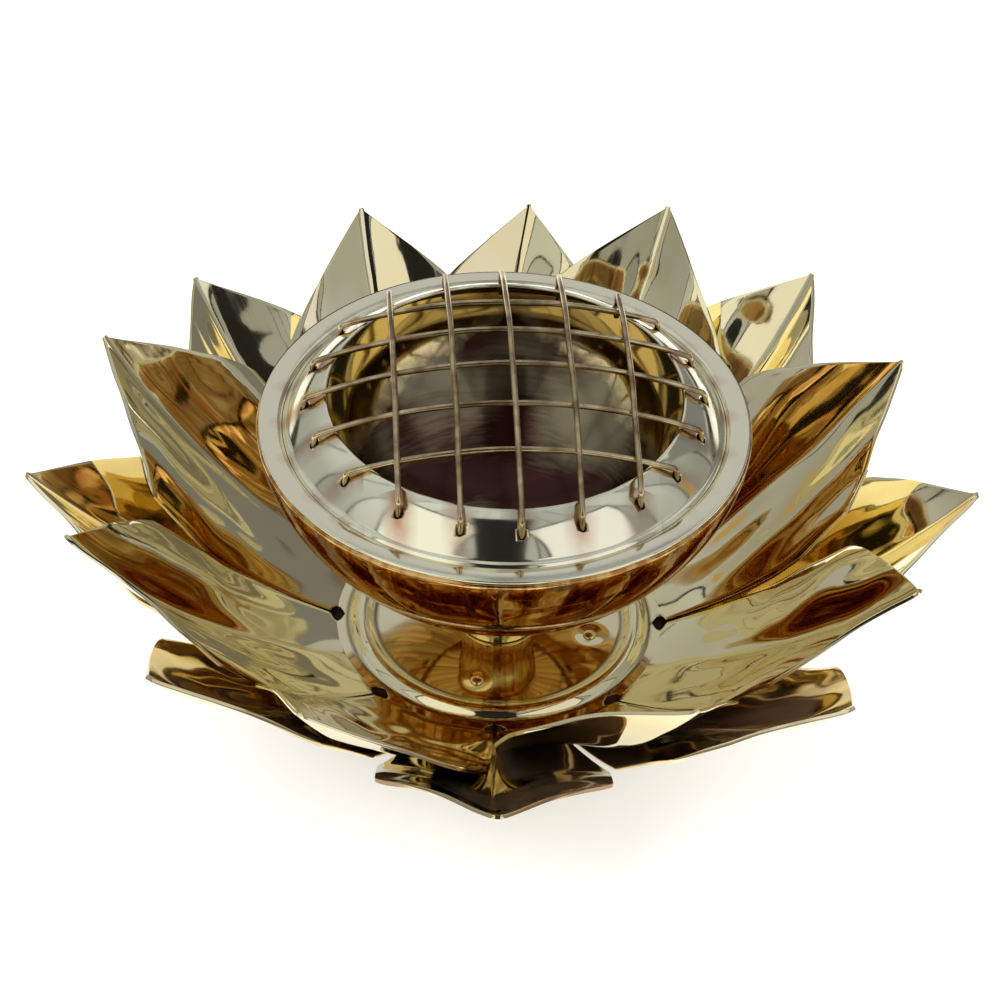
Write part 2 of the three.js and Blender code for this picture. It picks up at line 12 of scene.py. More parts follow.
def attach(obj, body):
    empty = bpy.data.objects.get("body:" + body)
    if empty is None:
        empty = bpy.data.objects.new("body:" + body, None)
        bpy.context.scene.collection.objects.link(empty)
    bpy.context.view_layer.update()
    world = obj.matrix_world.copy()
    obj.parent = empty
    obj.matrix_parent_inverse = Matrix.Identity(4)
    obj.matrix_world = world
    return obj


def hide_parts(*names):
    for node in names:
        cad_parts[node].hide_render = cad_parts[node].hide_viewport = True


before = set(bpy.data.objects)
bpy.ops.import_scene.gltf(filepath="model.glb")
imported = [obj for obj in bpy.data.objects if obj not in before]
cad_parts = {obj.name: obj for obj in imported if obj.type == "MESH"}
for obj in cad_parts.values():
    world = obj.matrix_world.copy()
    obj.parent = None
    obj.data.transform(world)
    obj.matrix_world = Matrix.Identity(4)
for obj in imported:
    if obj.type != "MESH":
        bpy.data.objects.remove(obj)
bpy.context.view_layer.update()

# Lotus sheets. Two sheets of 0.8 mm brass, each blanked, slit and pressed into a flat hub with eight
# creased petals, then bent up by hand and polished to a mirror. The slits end in oval notches, and the
# upper sheet has an annular bead round its floor.
scene = bpy.context.scene
MM = 0.001
SHEET = 0.8 * MM
PETALS = 8
HUB_RADIUS = 34 * MM
BORE_RADIUS = 2.15 * MM
INNER_SHEET_Z = 10.8 * MM
OUTER_SHEET_Z = 10 * MM
RIVET_CIRCLE = 19.6 * MM
RIVET_TURN = math.radians(-12)
LOTUS = {
    "Petal length": 73.95 * MM,
    "Half width": 23 * MM,
    "Taper length": 29.5 * MM,
    "Taper power": 1.2,
    "Tip half width": 0.5 * MM,
    "Bore radius": BORE_RADIUS,
    "Crease rise": 0.45,
    "Crease reach": 12 * MM,
    "Crease round": 1.2 * MM,
    "Crease full at": 45 * MM,
    "Slit": 0.9 * MM,
    "Notch across": 5.2 * MM,
    "Notch along": 2.8 * MM,
    "Bead radius": 28.7 * MM,
    "Bead width": 6 * MM,
    "Dimple radius": 4.4 * MM,
    "Rivet circle": RIVET_CIRCLE,
    "Rivet turn": RIVET_TURN,
    "Dish reach": 25 * MM,
    "Sway from": 30 * MM,
    "Wave height": 0.3 * MM,
    "Wave pitch": 21 * MM,
    "Floor wave": 0.04 * MM,
    "Flute height": 0.26 * MM,
    "Flute width": 7 * MM,
    "Flute length": 60 * MM,
    # How far the painted shade at the lower sheet's petal roots reaches.
    "Soiled root": 5 * MM,
}
SMOOTH = {"interpolation_type": "SMOOTHSTEP"}
PETAL_COLUMNS = ("lean", "wing_before", "wing_after", "turn", "sway", "fluted")
FINER = 0.82
FINER_REACH = 3 * MM
CALM_REACH = 18 * MM
FLUTE_START = 4 * MM
FLUTE_FULL = 26 * MM
STILL_TIP = 16 * MM

brass = bpy.data.materials.new("mirror_polished_brass_sheet")


def feed(tree, node, inputs):
    """Gives a node its inputs, in order or by socket. Each is a value, a socket or a node."""
    for key, value in inputs.items() if isinstance(inputs, dict) else enumerate(inputs):
        if isinstance(value, bpy.types.Node):
            value = next(s for s in value.outputs if s.enabled)
        if isinstance(value, bpy.types.NodeSocket):
            tree.links.new(value, node.inputs[key])
        else:
            node.inputs[key].default_value = value


def add(tree, kind, inputs=(), operation=None, **settings):
    """Adds a node with its settings and inputs."""
    node = tree.nodes.new(kind)
    if operation:
        node.operation = operation
    for name, value in settings.items():
        setattr(node, name, value)
    feed(tree, node, inputs)
    return node


def from_axis(tree, place):
    """How far a place lies from the burner's axis."""
    flat = add(tree, "ShaderNodeVectorMath", [place, (1.0, 1.0, 0.0)], "MULTIPLY")
    return add(tree, "ShaderNodeVectorMath", [flat], "LENGTH").outputs["Value"]


def sockets(tree, kind, *names, in_out="INPUT"):
    """Gives a tree inputs or outputs of one kind."""
    for name in names:
        tree.interface.new_socket(name=name, in_out=in_out, socket_type="NodeSocket" + kind)


def close_tree(tree, made, material):
    """Ends a tree: what it made, as real geometry in one material, goes out."""
    real = add(tree, "GeometryNodeRealizeInstances", [made])
    finish = add(tree, "GeometryNodeSetMaterial", {"Geometry": real, "Material": material})
    add(tree, "NodeGroupOutput", [finish])


tree = bpy.data.node_groups.new("Pressed lotus sheet", "GeometryNodeTree")
sockets(tree, "Geometry", "Petal roots")
sockets(tree, "Float", "Hub radius", "Hub slope", "Tip slope", "Bead height", "Dimple depth", "Root shade")
sockets(tree, "Float", *LOTUS, "Seed")
sockets(tree, "Int", "Rows", "Columns")
sockets(tree, "Material", "Material")
sockets(tree, "Geometry", "Sheet", in_out="OUTPUT")
size = add(tree, "NodeGroupInput").outputs

# One plain grid for each petal root, 0 to 1 along and -1 to 1 across.
grid = add(
    tree,
    "GeometryNodeMeshGrid",
    {"Size X": 1.0, "Size Y": 2.0, "Vertices X": size["Rows"], "Vertices Y": size["Columns"]},
)
copies = add(tree, "GeometryNodeInstanceOnPoints", {"Points": size["Petal roots"], "Instance": grid})
flat = add(tree, "GeometryNodeRealizeInstances", [copies])
spot = add(tree, "ShaderNodeSeparateXYZ", [add(tree, "GeometryNodeInputPosition")]).outputs
lean, before, after, turn, sway, fluted, along, across = (
    add(tree, "GeometryNodeInputNamedAttribute", [name])
    for name in (*PETAL_COLUMNS, "petal_along", "petal_across")
)

# Distance q from the hub's edge, with closer rows where the notches are.
start = add(tree, "ShaderNodeMath", [size["Bore radius"], size["Hub radius"]], "SUBTRACT")
row = add(
    tree,
    "ShaderNodeMapRange",
    {
        "Value": spot["X"],
        "From Min": -0.5,
        "From Max": 0.5,
        "To Min": add(tree, "ShaderNodeMath", [start, FINER * FINER_REACH], "SUBTRACT"),
        "To Max": add(tree, "ShaderNodeMath", [size["Petal length"], FINER * FINER_REACH], "ADD"),
    },
)
near = add(tree, "ShaderNodeMath", [row, FINER_REACH], "DIVIDE")
pull = add(tree, "ShaderNodeMath", [near], "TANH")
q = add(tree, "ShaderNodeMath", [pull, -FINER * FINER_REACH, row], "MULTIPLY_ADD")
out = add(tree, "ShaderNodeMath", [q, 0.0], "MAXIMUM")
inside = add(tree, "ShaderNodeMath", [q, 0.0], "MINIMUM")

# Side view: an arc whose slope grows evenly from the hub to the tip.
spread = add(tree, "ShaderNodeMath", [size["Tip slope"], size["Hub slope"]], "SUBTRACT")
bend = add(tree, "ShaderNodeMath", [spread, size["Petal length"]], "DIVIDE")
root_slope = add(tree, "ShaderNodeMath", [size["Hub slope"], lean], "ADD")
slope = add(tree, "ShaderNodeMath", [out, bend, root_slope], "MULTIPLY_ADD")
sine = add(tree, "ShaderNodeMath", [slope], "SINE")
cosine = add(tree, "ShaderNodeMath", [slope], "COSINE")
root_sine = add(tree, "ShaderNodeMath", [root_slope], "SINE")
root_cosine = add(tree, "ShaderNodeMath", [root_slope], "COSINE")
run = add(tree, "ShaderNodeMath", [sine, root_sine], "SUBTRACT")
run = add(tree, "ShaderNodeMath", [run, bend], "DIVIDE")
base = add(tree, "ShaderNodeMath", [size["Hub radius"], inside], "ADD")
radius = add(tree, "ShaderNodeMath", [base, run], "ADD")
climb = add(tree, "ShaderNodeMath", [root_cosine, cosine], "SUBTRACT")
climb = add(tree, "ShaderNodeMath", [climb, bend], "DIVIDE")
fold = add(tree, "ShaderNodeMapRange", {"Value": q, "From Max": size["Crease full at"]}, **SMOOTH)

# Half width: the slits bound it near the hub, the pointed outline further out.
edge_lift = add(tree, "ShaderNodeMath", [size["Crease rise"], size["Crease reach"]], "MULTIPLY")
edge_lift = add(tree, "ShaderNodeMath", [edge_lift, fold], "MULTIPLY")
drawn_in = add(tree, "ShaderNodeMath", [edge_lift, sine], "MULTIPLY")
edge_radius = add(tree, "ShaderNodeMath", [radius, drawn_in], "SUBTRACT")
notch = add(tree, "ShaderNodeMath", [size["Notch along"], 0.5], "MULTIPLY")
notch = add(tree, "ShaderNodeMath", [q, notch], "DIVIDE")
notch = add(tree, "ShaderNodeMath", [notch, notch], "MULTIPLY")
notch = add(tree, "ShaderNodeMath", [1.0, notch], "SUBTRACT")
notch = add(tree, "ShaderNodeMath", [notch, 0.0], "MAXIMUM")
notch = add(tree, "ShaderNodeMath", [notch], "SQRT")
notch = add(tree, "ShaderNodeMath", [notch, size["Notch across"]], "MULTIPLY")
slit = add(tree, "ShaderNodeMath", [q, 0.0], "GREATER_THAN")
slit = add(tree, "ShaderNodeMath", [slit, size["Slit"]], "MULTIPLY")
gap = add(tree, "ShaderNodeMath", [slit, notch], "MAXIMUM")
sector = add(tree, "ShaderNodeMath", [edge_radius, math.tan(math.pi / PETALS)], "MULTIPLY")
sector = add(tree, "ShaderNodeMath", [gap, -0.5, sector], "MULTIPLY_ADD")
shoulder = add(tree, "ShaderNodeMath", [size["Petal length"], size["Taper length"]], "SUBTRACT")
to_tip = add(tree, "ShaderNodeMath", [q, shoulder], "SUBTRACT")
to_tip = add(tree, "ShaderNodeMath", [to_tip, size["Taper length"]], "DIVIDE", use_clamp=True)
to_tip = add(tree, "ShaderNodeMath", [to_tip, size["Taper power"]], "POWER")
outline = add(tree, "ShaderNodeMath", [1.0, to_tip], "SUBTRACT")
outline = add(tree, "ShaderNodeMath", [outline, size["Half width"]], "MULTIPLY")
half = add(tree, "ShaderNodeMath", [sector, outline], "MINIMUM")
half = add(tree, "ShaderNodeMath", [half, size["Tip half width"]], "MAXIMUM")

# Columns lie closer at the crease than at the edges.
side = add(tree, "ShaderNodeMath", [spot["Y"]], "SIGN")
column = add(tree, "ShaderNodeMath", [spot["Y"]], "ABSOLUTE")
column = add(tree, "ShaderNodeMath", [column, 1.35], "POWER")
column = add(tree, "ShaderNodeMath", [column, side], "MULTIPLY")
w = add(tree, "ShaderNodeMath", [column, half], "MULTIPLY")

# The crease: a rounded valley whose sides rise and then level out towards the edges.
round_off = size["Crease round"]
valley = add(tree, "ShaderNodeCombineXYZ", [w, round_off])
valley = add(tree, "ShaderNodeVectorMath", [valley], "LENGTH")
valley = add(tree, "ShaderNodeMath", [valley.outputs["Value"], round_off], "SUBTRACT")
level = add(tree, "ShaderNodeMath", [valley, size["Crease reach"]], "DIVIDE")
level = add(tree, "ShaderNodeMath", [level, 4.0], "POWER")
level = add(tree, "ShaderNodeMath", [level, 1.0], "ADD")
level = add(tree, "ShaderNodeMath", [level, 0.25], "POWER")
rise = add(tree, "ShaderNodeMath", [valley, size["Crease rise"]], "MULTIPLY")
rise = add(tree, "ShaderNodeMath", [rise, level], "DIVIDE")
past = add(tree, "ShaderNodeMath", [w, 0.0], "GREATER_THAN")
wing = add(tree, "ShaderNodeMix", {0: past, 2: before, 3: after})
rise = add(tree, "ShaderNodeMath", [rise, wing], "MULTIPLY")
rise = add(tree, "ShaderNodeMath", [rise, fold], "MULTIPLY")
away = add(tree, "ShaderNodeMath", [rise, sine], "MULTIPLY")
away = add(tree, "ShaderNodeMath", [radius, away], "SUBTRACT")
height = add(tree, "ShaderNodeMath", [rise, cosine, climb], "MULTIPLY_ADD")

# The bead is a round ridge on the floor of the hub.
from_bead = add(tree, "ShaderNodeMath", [radius, size["Bead radius"]], "SUBTRACT")
from_bead = add(tree, "ShaderNodeMath", [from_bead, size["Bead width"]], "DIVIDE")
from_bead = add(tree, "ShaderNodeClamp", [from_bead, -0.5, 0.5])
bead = add(tree, "ShaderNodeMath", [from_bead, math.pi], "MULTIPLY")
bead = add(tree, "ShaderNodeMath", [bead], "COSINE")
bead = add(tree, "ShaderNodeMath", [bead, 2.0], "POWER")
height = add(tree, "ShaderNodeMath", [bead, size["Bead height"], height], "MULTIPLY_ADD")

# Near the hub the sheet is a dish about the axis, further out each petal is bent about a straight line.
straight = add(tree, "ShaderNodeMapRange", {"Value": q, "From Max": size["Dish reach"]}, **SMOOTH)
angle = add(tree, "ShaderNodeMath", [w, away], "ARCTAN2")
arm = add(tree, "ShaderNodeCombineXYZ", [away, 0.0, height])
dished = add(tree, "ShaderNodeVectorRotate", {"Vector": arm, "Angle": angle}, rotation_type="Z_AXIS")
bent = add(tree, "ShaderNodeCombineXYZ", [away, w, height])
point = add(tree, "ShaderNodeMix", {0: straight, 4: dished, 5: bent}, data_type="VECTOR").outputs[1]
pushed = add(
    tree,
    "ShaderNodeMapRange",
    {"Value": q, "From Min": size["Sway from"], "From Max": size["Petal length"]},
)
pushed = add(tree, "ShaderNodeMath", [pushed, 2.0], "POWER")
pushed = add(tree, "ShaderNodeMath", [pushed, sway], "MULTIPLY")
pushed = add(tree, "ShaderNodeCombineXYZ", [0.0, pushed])
point = add(tree, "ShaderNodeVectorMath", [point, pushed], "ADD")
point = add(tree, "ShaderNodeVectorRotate", {"Vector": point, "Angle": turn}, rotation_type="Z_AXIS")
# Painted shade near the hub's edge: dark at the petal roots, where the lower sheet lies under the upper one.
root_shade = add(
    tree,
    "ShaderNodeMapRange",
    {"Value": q, "From Max": size["Soiled root"], "To Min": size["Root shade"], "To Max": 0.0},
    **SMOOTH,
)
kept = flat
for name, value in (("petal_along", q), ("petal_across", w), ("petal_soil", root_shade)):
    stored = {"Geometry": kept, "Name": name, "Value": value}
    kept = add(tree, "GeometryNodeStoreNamedAttribute", stored)
shaped = add(tree, "GeometryNodeSetPosition", {"Geometry": kept, "Position": point})

# A shallow dish round each rivet, folded onto the first one, and hand-bent waves along the normal.
position = add(tree, "GeometryNodeInputPosition")
place = add(tree, "ShaderNodeSeparateXYZ", [position]).outputs
bearing = add(tree, "ShaderNodeMath", [place["Y"], place["X"]], "ARCTAN2")
bearing = add(tree, "ShaderNodeMath", [bearing, size["Rivet turn"]], "SUBTRACT")
bearing = add(tree, "ShaderNodeMath", [bearing, math.pi / 4, -math.pi / 4], "WRAP")
folded = add(tree, "ShaderNodeCombineXYZ", [from_axis(tree, position)])
folded = add(tree, "ShaderNodeVectorRotate", {"Vector": folded, "Angle": bearing}, rotation_type="Z_AXIS")
rivet_spot = add(tree, "ShaderNodeCombineXYZ", [size["Rivet circle"]])
off_rivet = add(tree, "ShaderNodeVectorMath", [folded, rivet_spot], "DISTANCE").outputs["Value"]
dish = add(
    tree,
    "ShaderNodeMapRange",
    {"Value": off_rivet, "From Max": size["Dimple radius"], "To Min": 1.0, "To Max": 0.0},
    interpolation_type="SMOOTHERSTEP",
)
dish = add(tree, "ShaderNodeMath", [dish, size["Dimple depth"]], "MULTIPLY")
dish = add(tree, "ShaderNodeMath", [dish, -1.0], "MULTIPLY")
dish = add(tree, "ShaderNodeCombineXYZ", [0.0, 0.0, dish])
dished = add(tree, "GeometryNodeSetPosition", {"Geometry": shaped, "Offset": dish})
scale = add(tree, "ShaderNodeMath", [1.0, size["Wave pitch"]], "DIVIDE")
noise = add(
    tree,
    "ShaderNodeTexNoise",
    {"W": size["Seed"], "Scale": scale, "Detail": 1.0, "Roughness": 0.45},
    noise_dimensions="4D",
)
swing = {"From Min": 0.3, "From Max": 0.7, "To Min": -1.0}
wave = add(tree, "ShaderNodeMapRange", {"Value": noise, **swing}, clamp=False)
calm = add(
    tree,
    "ShaderNodeMapRange",
    {
        "Value": along,
        "From Max": CALM_REACH,
        "To Min": size["Floor wave"],
        "To Max": size["Wave height"],
    },
    **SMOOTH,
)
wave = add(tree, "ShaderNodeMath", [wave, calm], "MULTIPLY")

# Long shallow flutes that follow the petal, left by pressing and buffing.
fan = add(tree, "ShaderNodeMath", [along, size["Flute length"]], "DIVIDE")
rib = add(tree, "ShaderNodeMath", [across, size["Flute width"]], "DIVIDE")
apart = add(tree, "ShaderNodeMath", [turn, 9.0], "MULTIPLY")
flute = add(tree, "ShaderNodeCombineXYZ", [fan, rib, apart])
flute = add(
    tree,
    "ShaderNodeTexNoise",
    {"Vector": flute, "W": size["Seed"], "Scale": 1.0, "Detail": 0.0},
    noise_dimensions="4D",
)
flute = add(tree, "ShaderNodeMapRange", {"Value": flute, **swing}, clamp=False)
begin = add(
    tree,
    "ShaderNodeMapRange",
    {"Value": along, "From Min": FLUTE_START, "From Max": FLUTE_FULL},
    **SMOOTH,
)
flute = add(tree, "ShaderNodeMath", [flute, begin], "MULTIPLY")
flute = add(tree, "ShaderNodeMath", [flute, fluted], "MULTIPLY")
wave = add(tree, "ShaderNodeMath", [flute, size["Flute height"], wave], "MULTIPLY_ADD")
still = add(tree, "ShaderNodeMath", [size["Petal length"], STILL_TIP], "SUBTRACT")
still = add(
    tree,
    "ShaderNodeMapRange",
    {"Value": along, "From Min": still, "From Max": size["Petal length"], "To Min": 1.0, "To Max": 0.05},
)
wave = add(tree, "ShaderNodeMath", [wave, still], "MULTIPLY")
normal = add(tree, "GeometryNodeInputNormal")
wave = add(tree, "ShaderNodeVectorMath", {0: normal, "Scale": wave}, "SCALE")
waved = add(tree, "GeometryNodeSetPosition", {"Geometry": dished, "Offset": wave})
merged = add(tree, "GeometryNodeMergeByDistance", {"Geometry": waved, "Distance": 0.01 * MM})
shade = add(tree, "GeometryNodeSetShadeSmooth", {"Geometry": merged})
close_tree(tree, shade, size["Material"])
lotus_tree = tree


def run_tree(obj, name, tree, values):
    """Puts a tree on an object as a modifier, with inputs set by the names that the tree gives them."""
    modifier = obj.modifiers.new(name, "NODES")
    modifier.node_group = tree
    keys = {s.name: s.identifier for s in tree.interface.items_tree if s.in_out == "INPUT"}
    for key, value in values.items():
        modifier[keys[key]] = value


def put(name, data):
    """Adds an object to the scene."""
    obj = bpy.data.objects.new(name, data)
    scene.collection.objects.link(obj)
    return obj


def settle(obj, name):
    """Turns an object with modifiers into a plain mesh object at the origin, under its final name."""
    bpy.context.view_layer.update()
    graph = bpy.context.evaluated_depsgraph_get()
    mesh = bpy.data.meshes.new_from_object(obj.evaluated_get(graph), depsgraph=graph)
    mesh.name = name
    bpy.data.objects.remove(obj)
    return put(name, mesh)


def carrier(name, columns, count):
    """A mesh of loose points at the origin, one for each copy, that holds a value of each named column."""
    mesh = bpy.data.meshes.new(name)
    mesh.from_pydata([(0, 0, 0)] * count, [], [])
    for key, values in columns.items():
        mesh.attributes.new(key, "FLOAT", "POINT").data.foreach_set("value", values)
    return put(name, mesh)


def lotus_sheet(name, bottom, first_turn, leans, sways, wings, flutes, tarnish_and_shade, **own):
    """One pressed sheet. Leans are degrees further up, sways are mm that a tip is pushed sideways, wings
    are each half's share of the crease's rise, and flutes give how strong each petal's flutes are. The last
    list gives how strongly each petal is tarnished brown, with painted shade mixed in. Every list runs
    anticlockwise from the petal on the right.
    """
    turns = [math.radians(first_turn + i * 360 / PETALS) for i in range(PETALS)]
    columns = {
        "lean": [math.radians(a) for a in leans],
        "sway": [s * MM for s in sways],
        "wing_before": [pair[0] for pair in wings],
        "wing_after": [pair[1] for pair in wings],
        "fluted": flutes,
        "tarnish_and_shade": tarnish_and_shade,
        "turn": turns,
    }
    obj = carrier(name + "_roots", columns, PETALS)
    run_tree(obj, "Press", lotus_tree, {**LOTUS, **own, "Rows": 150, "Columns": 33, "Material": brass})
    obj = settle(obj, name + "_skin")
    thicken = obj.modifiers.new("Thickness", "SOLIDIFY")
    thicken.thickness = SHEET
    thicken.offset = 0
    thicken.use_even_offset = True
    soften = obj.modifiers.new("Broken edges", "BEVEL")
    soften.width = 0.14 * MM
    soften.segments = 2
    soften.limit_method = "ANGLE"
    soften.angle_limit = math.radians(60)
    made = settle(obj, name)
    made.data.transform(Matrix.Translation((0, 0, bottom + SHEET / 2)))
    return made


outer_petals = lotus_sheet(
    "outer_lotus_sheet",
    OUTER_SHEET_Z,
    0,
    [-2, 7, -1, -5, -2, 3, -1, 1],
    [2, -1.5, -4, -2, 1, 0, 1, 1],
    [(1, 1), (1, 1), (1, 0.7), (1, 1), (1, 1), (0.4, 1), (1, 1), (1, 0.4)],
    [0.8, 1.3, 0.5, 0.6, 1.2, 0.6, 0.6, 0.6],
    # How strongly each petal is tarnished brown with painted shade mixed in, most on the petals at the
    # front.
    [0.2, 0, 0, 0, 0.2, 0.35, 0.75, 0.75],
    **{
        "Hub radius": HUB_RADIUS + SHEET,
        "Hub slope": math.radians(17),
        "Tip slope": math.radians(49),
        "Bead height": 0.0,
        "Dimple depth": 0.0,
        # The petal roots are painted dark as shade under the upper sheet.
        "Root shade": 1.0,
        "Seed": 3.0,
    },
)
inner_petals = lotus_sheet(
    "inner_lotus_sheet",
    INNER_SHEET_Z,
    22.5,
    [4, 5, -5, -2, -1, 1, 3, -1],
    [-6, -1.5, -3, 0, -4.5, -2.5, 4.5, -4.5],
    [(0.5, 1), (1, 1), (1, 1), (1, 1), (1, 1), (1, 0.3), (1.45, 0.55), (1, 1)],
    [1.4, 1.2, 0.5, 1.8, 1.3, 0.3, 0.3, 1.3],
    [0, 0, 0, 0, 0, 0, 0, 0],
    **{
        "Hub radius": HUB_RADIUS,
        "Hub slope": math.radians(24),
        "Tip slope": math.radians(56),
        "Bead height": 1.7 * MM,
        "Dimple depth": 0.3 * MM,
        "Root shade": 0.0,
        "Seed": 8.0,
    },
)


def linear(code):
    """An sRGB hex colour as a linear RGBA tuple."""
    parts = [int(code[i : i + 2], 16) / 255 for i in (1, 3, 5)]
    low = [c / 12.92 if c <= 0.04045 else ((c + 0.055) / 1.055) ** 2.4 for c in parts]
    return (*low, 1.0)


def bare_metal(paint):
    """Starts a metal finish: its tree, its shader and the place on the piece."""
    paint.use_nodes = True
    shader = paint.node_tree.nodes["Principled BSDF"]
    shader.inputs["Metallic"].default_value = 1.0
    where = add(paint.node_tree, "ShaderNodeTexCoord").outputs["Object"]
    return paint.node_tree, shader, where


# Mirror finish: rolled 63/37 brass, buffed along the petals. Buffing lines are 0.3 mm apart, coarser than
# real ones so that they show. Some petals are tarnished brown in patches on their upper face, with painted
# shade mixed in where the lower sheet lies under the upper one. Grime lies in the bead's folds, and the
# lower sheet's petal roots, under the upper sheet, are painted nearly black as shade.
tree, shader, where = bare_metal(brass)
tarnish_and_shade = add(tree, "ShaderNodeTexNoise", {"Vector": where, "Scale": 1 / (30 * MM), "Detail": 3.0})
tone = add(tree, "ShaderNodeMapRange", {"Value": tarnish_and_shade, "From Min": 0.35, "From Max": 0.65})
colour = add(tree, "ShaderNodeMix", {0: tone, 6: linear("#EFE4B9"), 7: linear("#EADBA8")}, data_type="RGBA")
# Painted shade: the lower sheet's petal roots turn nearly black, as if in shadow under the upper sheet.
root_shade = add(tree, "ShaderNodeAttribute", attribute_name="petal_soil").outputs["Fac"]
# Tarnished brown patches mixed with painted shade, on the upper faces of some lower-sheet petals.
tarnish_and_shade_mask = add(tree, "ShaderNodeAttribute", attribute_name="tarnish_and_shade").outputs["Fac"]
patchy = {"Value": tarnish_and_shade, "From Min": 0.4, "From Max": 0.55, "To Min": 0.15}
patchy = add(tree, "ShaderNodeMapRange", patchy)
tarnish_and_shade_mask = add(tree, "ShaderNodeMath", [tarnish_and_shade_mask, patchy], "MULTIPLY")
facing = add(tree, "ShaderNodeTexCoord").outputs["Normal"]
facing = add(tree, "ShaderNodeSeparateXYZ", [facing]).outputs["Z"]
upper_face = add(tree, "ShaderNodeMapRange", {"Value": facing, "From Min": -0.1, "From Max": 0.1})
tarnish_and_shade_mask = add(tree, "ShaderNodeMath", [tarnish_and_shade_mask, upper_face], "MULTIPLY")
browned = {0: tarnish_and_shade_mask, 6: colour.outputs[2], 7: linear("#6E3016")}
colour = add(tree, "ShaderNodeMix", browned, data_type="RGBA")
colour = add(tree, "ShaderNodeMix", {0: root_shade, 6: colour.outputs[2], 7: linear("#2E1D12")}, data_type="RGBA")
fold = add(tree, "ShaderNodeMath", [from_axis(tree, where), LOTUS["Bead radius"]], "SUBTRACT")
fold = add(tree, "ShaderNodeMath", [fold], "ABSOLUTE")
fold = add(tree, "ShaderNodeMath", [fold, LOTUS["Bead width"] / 2], "SUBTRACT")
fold = add(tree, "ShaderNodeMath", [fold], "ABSOLUTE")
fold = add(tree, "ShaderNodeMapRange", {"Value": fold, "From Max": 0.7 * MM, "To Min": 0.75, "To Max": 0.0})
fold = add(tree, "ShaderNodeMath", [fold, upper_face], "MULTIPLY")
colour = add(tree, "ShaderNodeMix", {0: fold, 6: colour.outputs[2], 7: linear("#5A4324")}, data_type="RGBA")
along = add(tree, "ShaderNodeAttribute", attribute_name="petal_along").outputs["Fac"]
across = add(tree, "ShaderNodeAttribute", attribute_name="petal_across").outputs["Fac"]
stroke = add(tree, "ShaderNodeCombineXYZ", [along, across])
stroke = add(tree, "ShaderNodeVectorMath", [stroke, (1 / (9 * MM), 1 / (0.3 * MM), 1.0)], "MULTIPLY")
buffing = add(tree, "ShaderNodeTexNoise", {"Vector": stroke, "Scale": 1.0, "Detail": 2.0})
gloss = {"Value": buffing, "From Min": 0.3, "From Max": 0.75, "To Min": 0.025, "To Max": 0.09}
gloss = add(tree, "ShaderNodeMapRange", gloss)
gloss = add(tree, "ShaderNodeMath", [root_shade, 0.3, gloss], "MULTIPLY_ADD")
gloss = add(tree, "ShaderNodeMath", [tarnish_and_shade_mask, 0.04, gloss], "MULTIPLY_ADD")
bare = add(tree, "ShaderNodeMapRange", {"Value": tarnish_and_shade_mask, "From Min": 0.3, "To Min": 1.0, "To Max": 0.65})
ripple = add(tree, "ShaderNodeTexNoise", {"Vector": where, "Scale": 1 / (6 * MM), "Detail": 1.0})
relief = add(tree, "ShaderNodeMath", [buffing, 0.012, ripple], "MULTIPLY_ADD")
bump = add(tree, "ShaderNodeBump", {"Strength": 0.35, "Distance": 0.03 * MM, "Height": relief})
feed(tree, shader, {"Base Color": colour.outputs[2], "Metallic": bare, "Roughness": gloss, "Normal": bump})

for piece, node in ((outer_petals, "outer_petals"), (inner_petals, "inner_petals")):
    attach(piece, "burner")
    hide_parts(node)


# Foot. A spun brass bell under the lotus, 1 mm thick, with a turned-in lip to stand on. It is riveted and
# screwed to the sheets, and a slotted steel screw with its washer draws the whole stack to the stem.
def turned(name, profile, segments, material):
    """Turns radius and height pairs in mm, anticlockwise with the outside on the right, into a shell."""
    mesh = bpy.data.meshes.new(name)
    rings = []
    vertices = []
    for r, z in profile:
        if r < 1e-6:
            rings.append([len(vertices)])
            vertices.append((0, 0, z * MM))
            continue
        rings.append(range(len(vertices), len(vertices) + segments))
        for k in range(segments):
            a = 2 * math.pi * k / segments
            vertices.append((r * MM * math.cos(a), r * MM * math.sin(a), z * MM))
    faces = []
    pairs = list(zip(rings, rings[1:]))
    if profile[0][0] > 1e-6:
        pairs.append((rings[-1], rings[0]))
    for low, high in pairs:
        for k in range(segments):
            n = (k + 1) % segments
            if len(low) == 1 and len(high) == 1:
                continue
            if len(low) == 1:
                faces.append((low[0], high[n], high[k]))
            elif len(high) == 1:
                faces.append((low[k], low[n], high[0]))
            else:
                faces.append((low[k], low[n], high[n], high[k]))
    mesh.from_pydata(vertices, [], faces)
    mesh.materials.append(material)
    mesh.polygons.foreach_set("use_smooth", [True] * len(mesh.polygons))
    mesh.update()
    return put(name, mesh)


def rounded(points, radius, steps=4):
    """The same outline with each corner turned into a short curve."""
    made = []
    for i, corner in enumerate(points):
        here = Vector(corner)
        before = Vector(points[i - 1]) - here
        after = Vector(points[(i + 1) % len(points)]) - here
        if here.x < 1e-6 or before.angle(after, math.pi) > math.radians(165):
            made.append((here.x, here.y))
            continue
        cut = min(radius, before.length * 0.45, after.length * 0.45)
        a = here + before.normalized() * cut
        b = here + after.normalized() * cut
        for k in range(steps + 1):
            t = k / steps
            p = a * (1 - t) ** 2 + here * 2 * t * (1 - t) + b * t * t
            made.append((p.x, p.y))
    return made


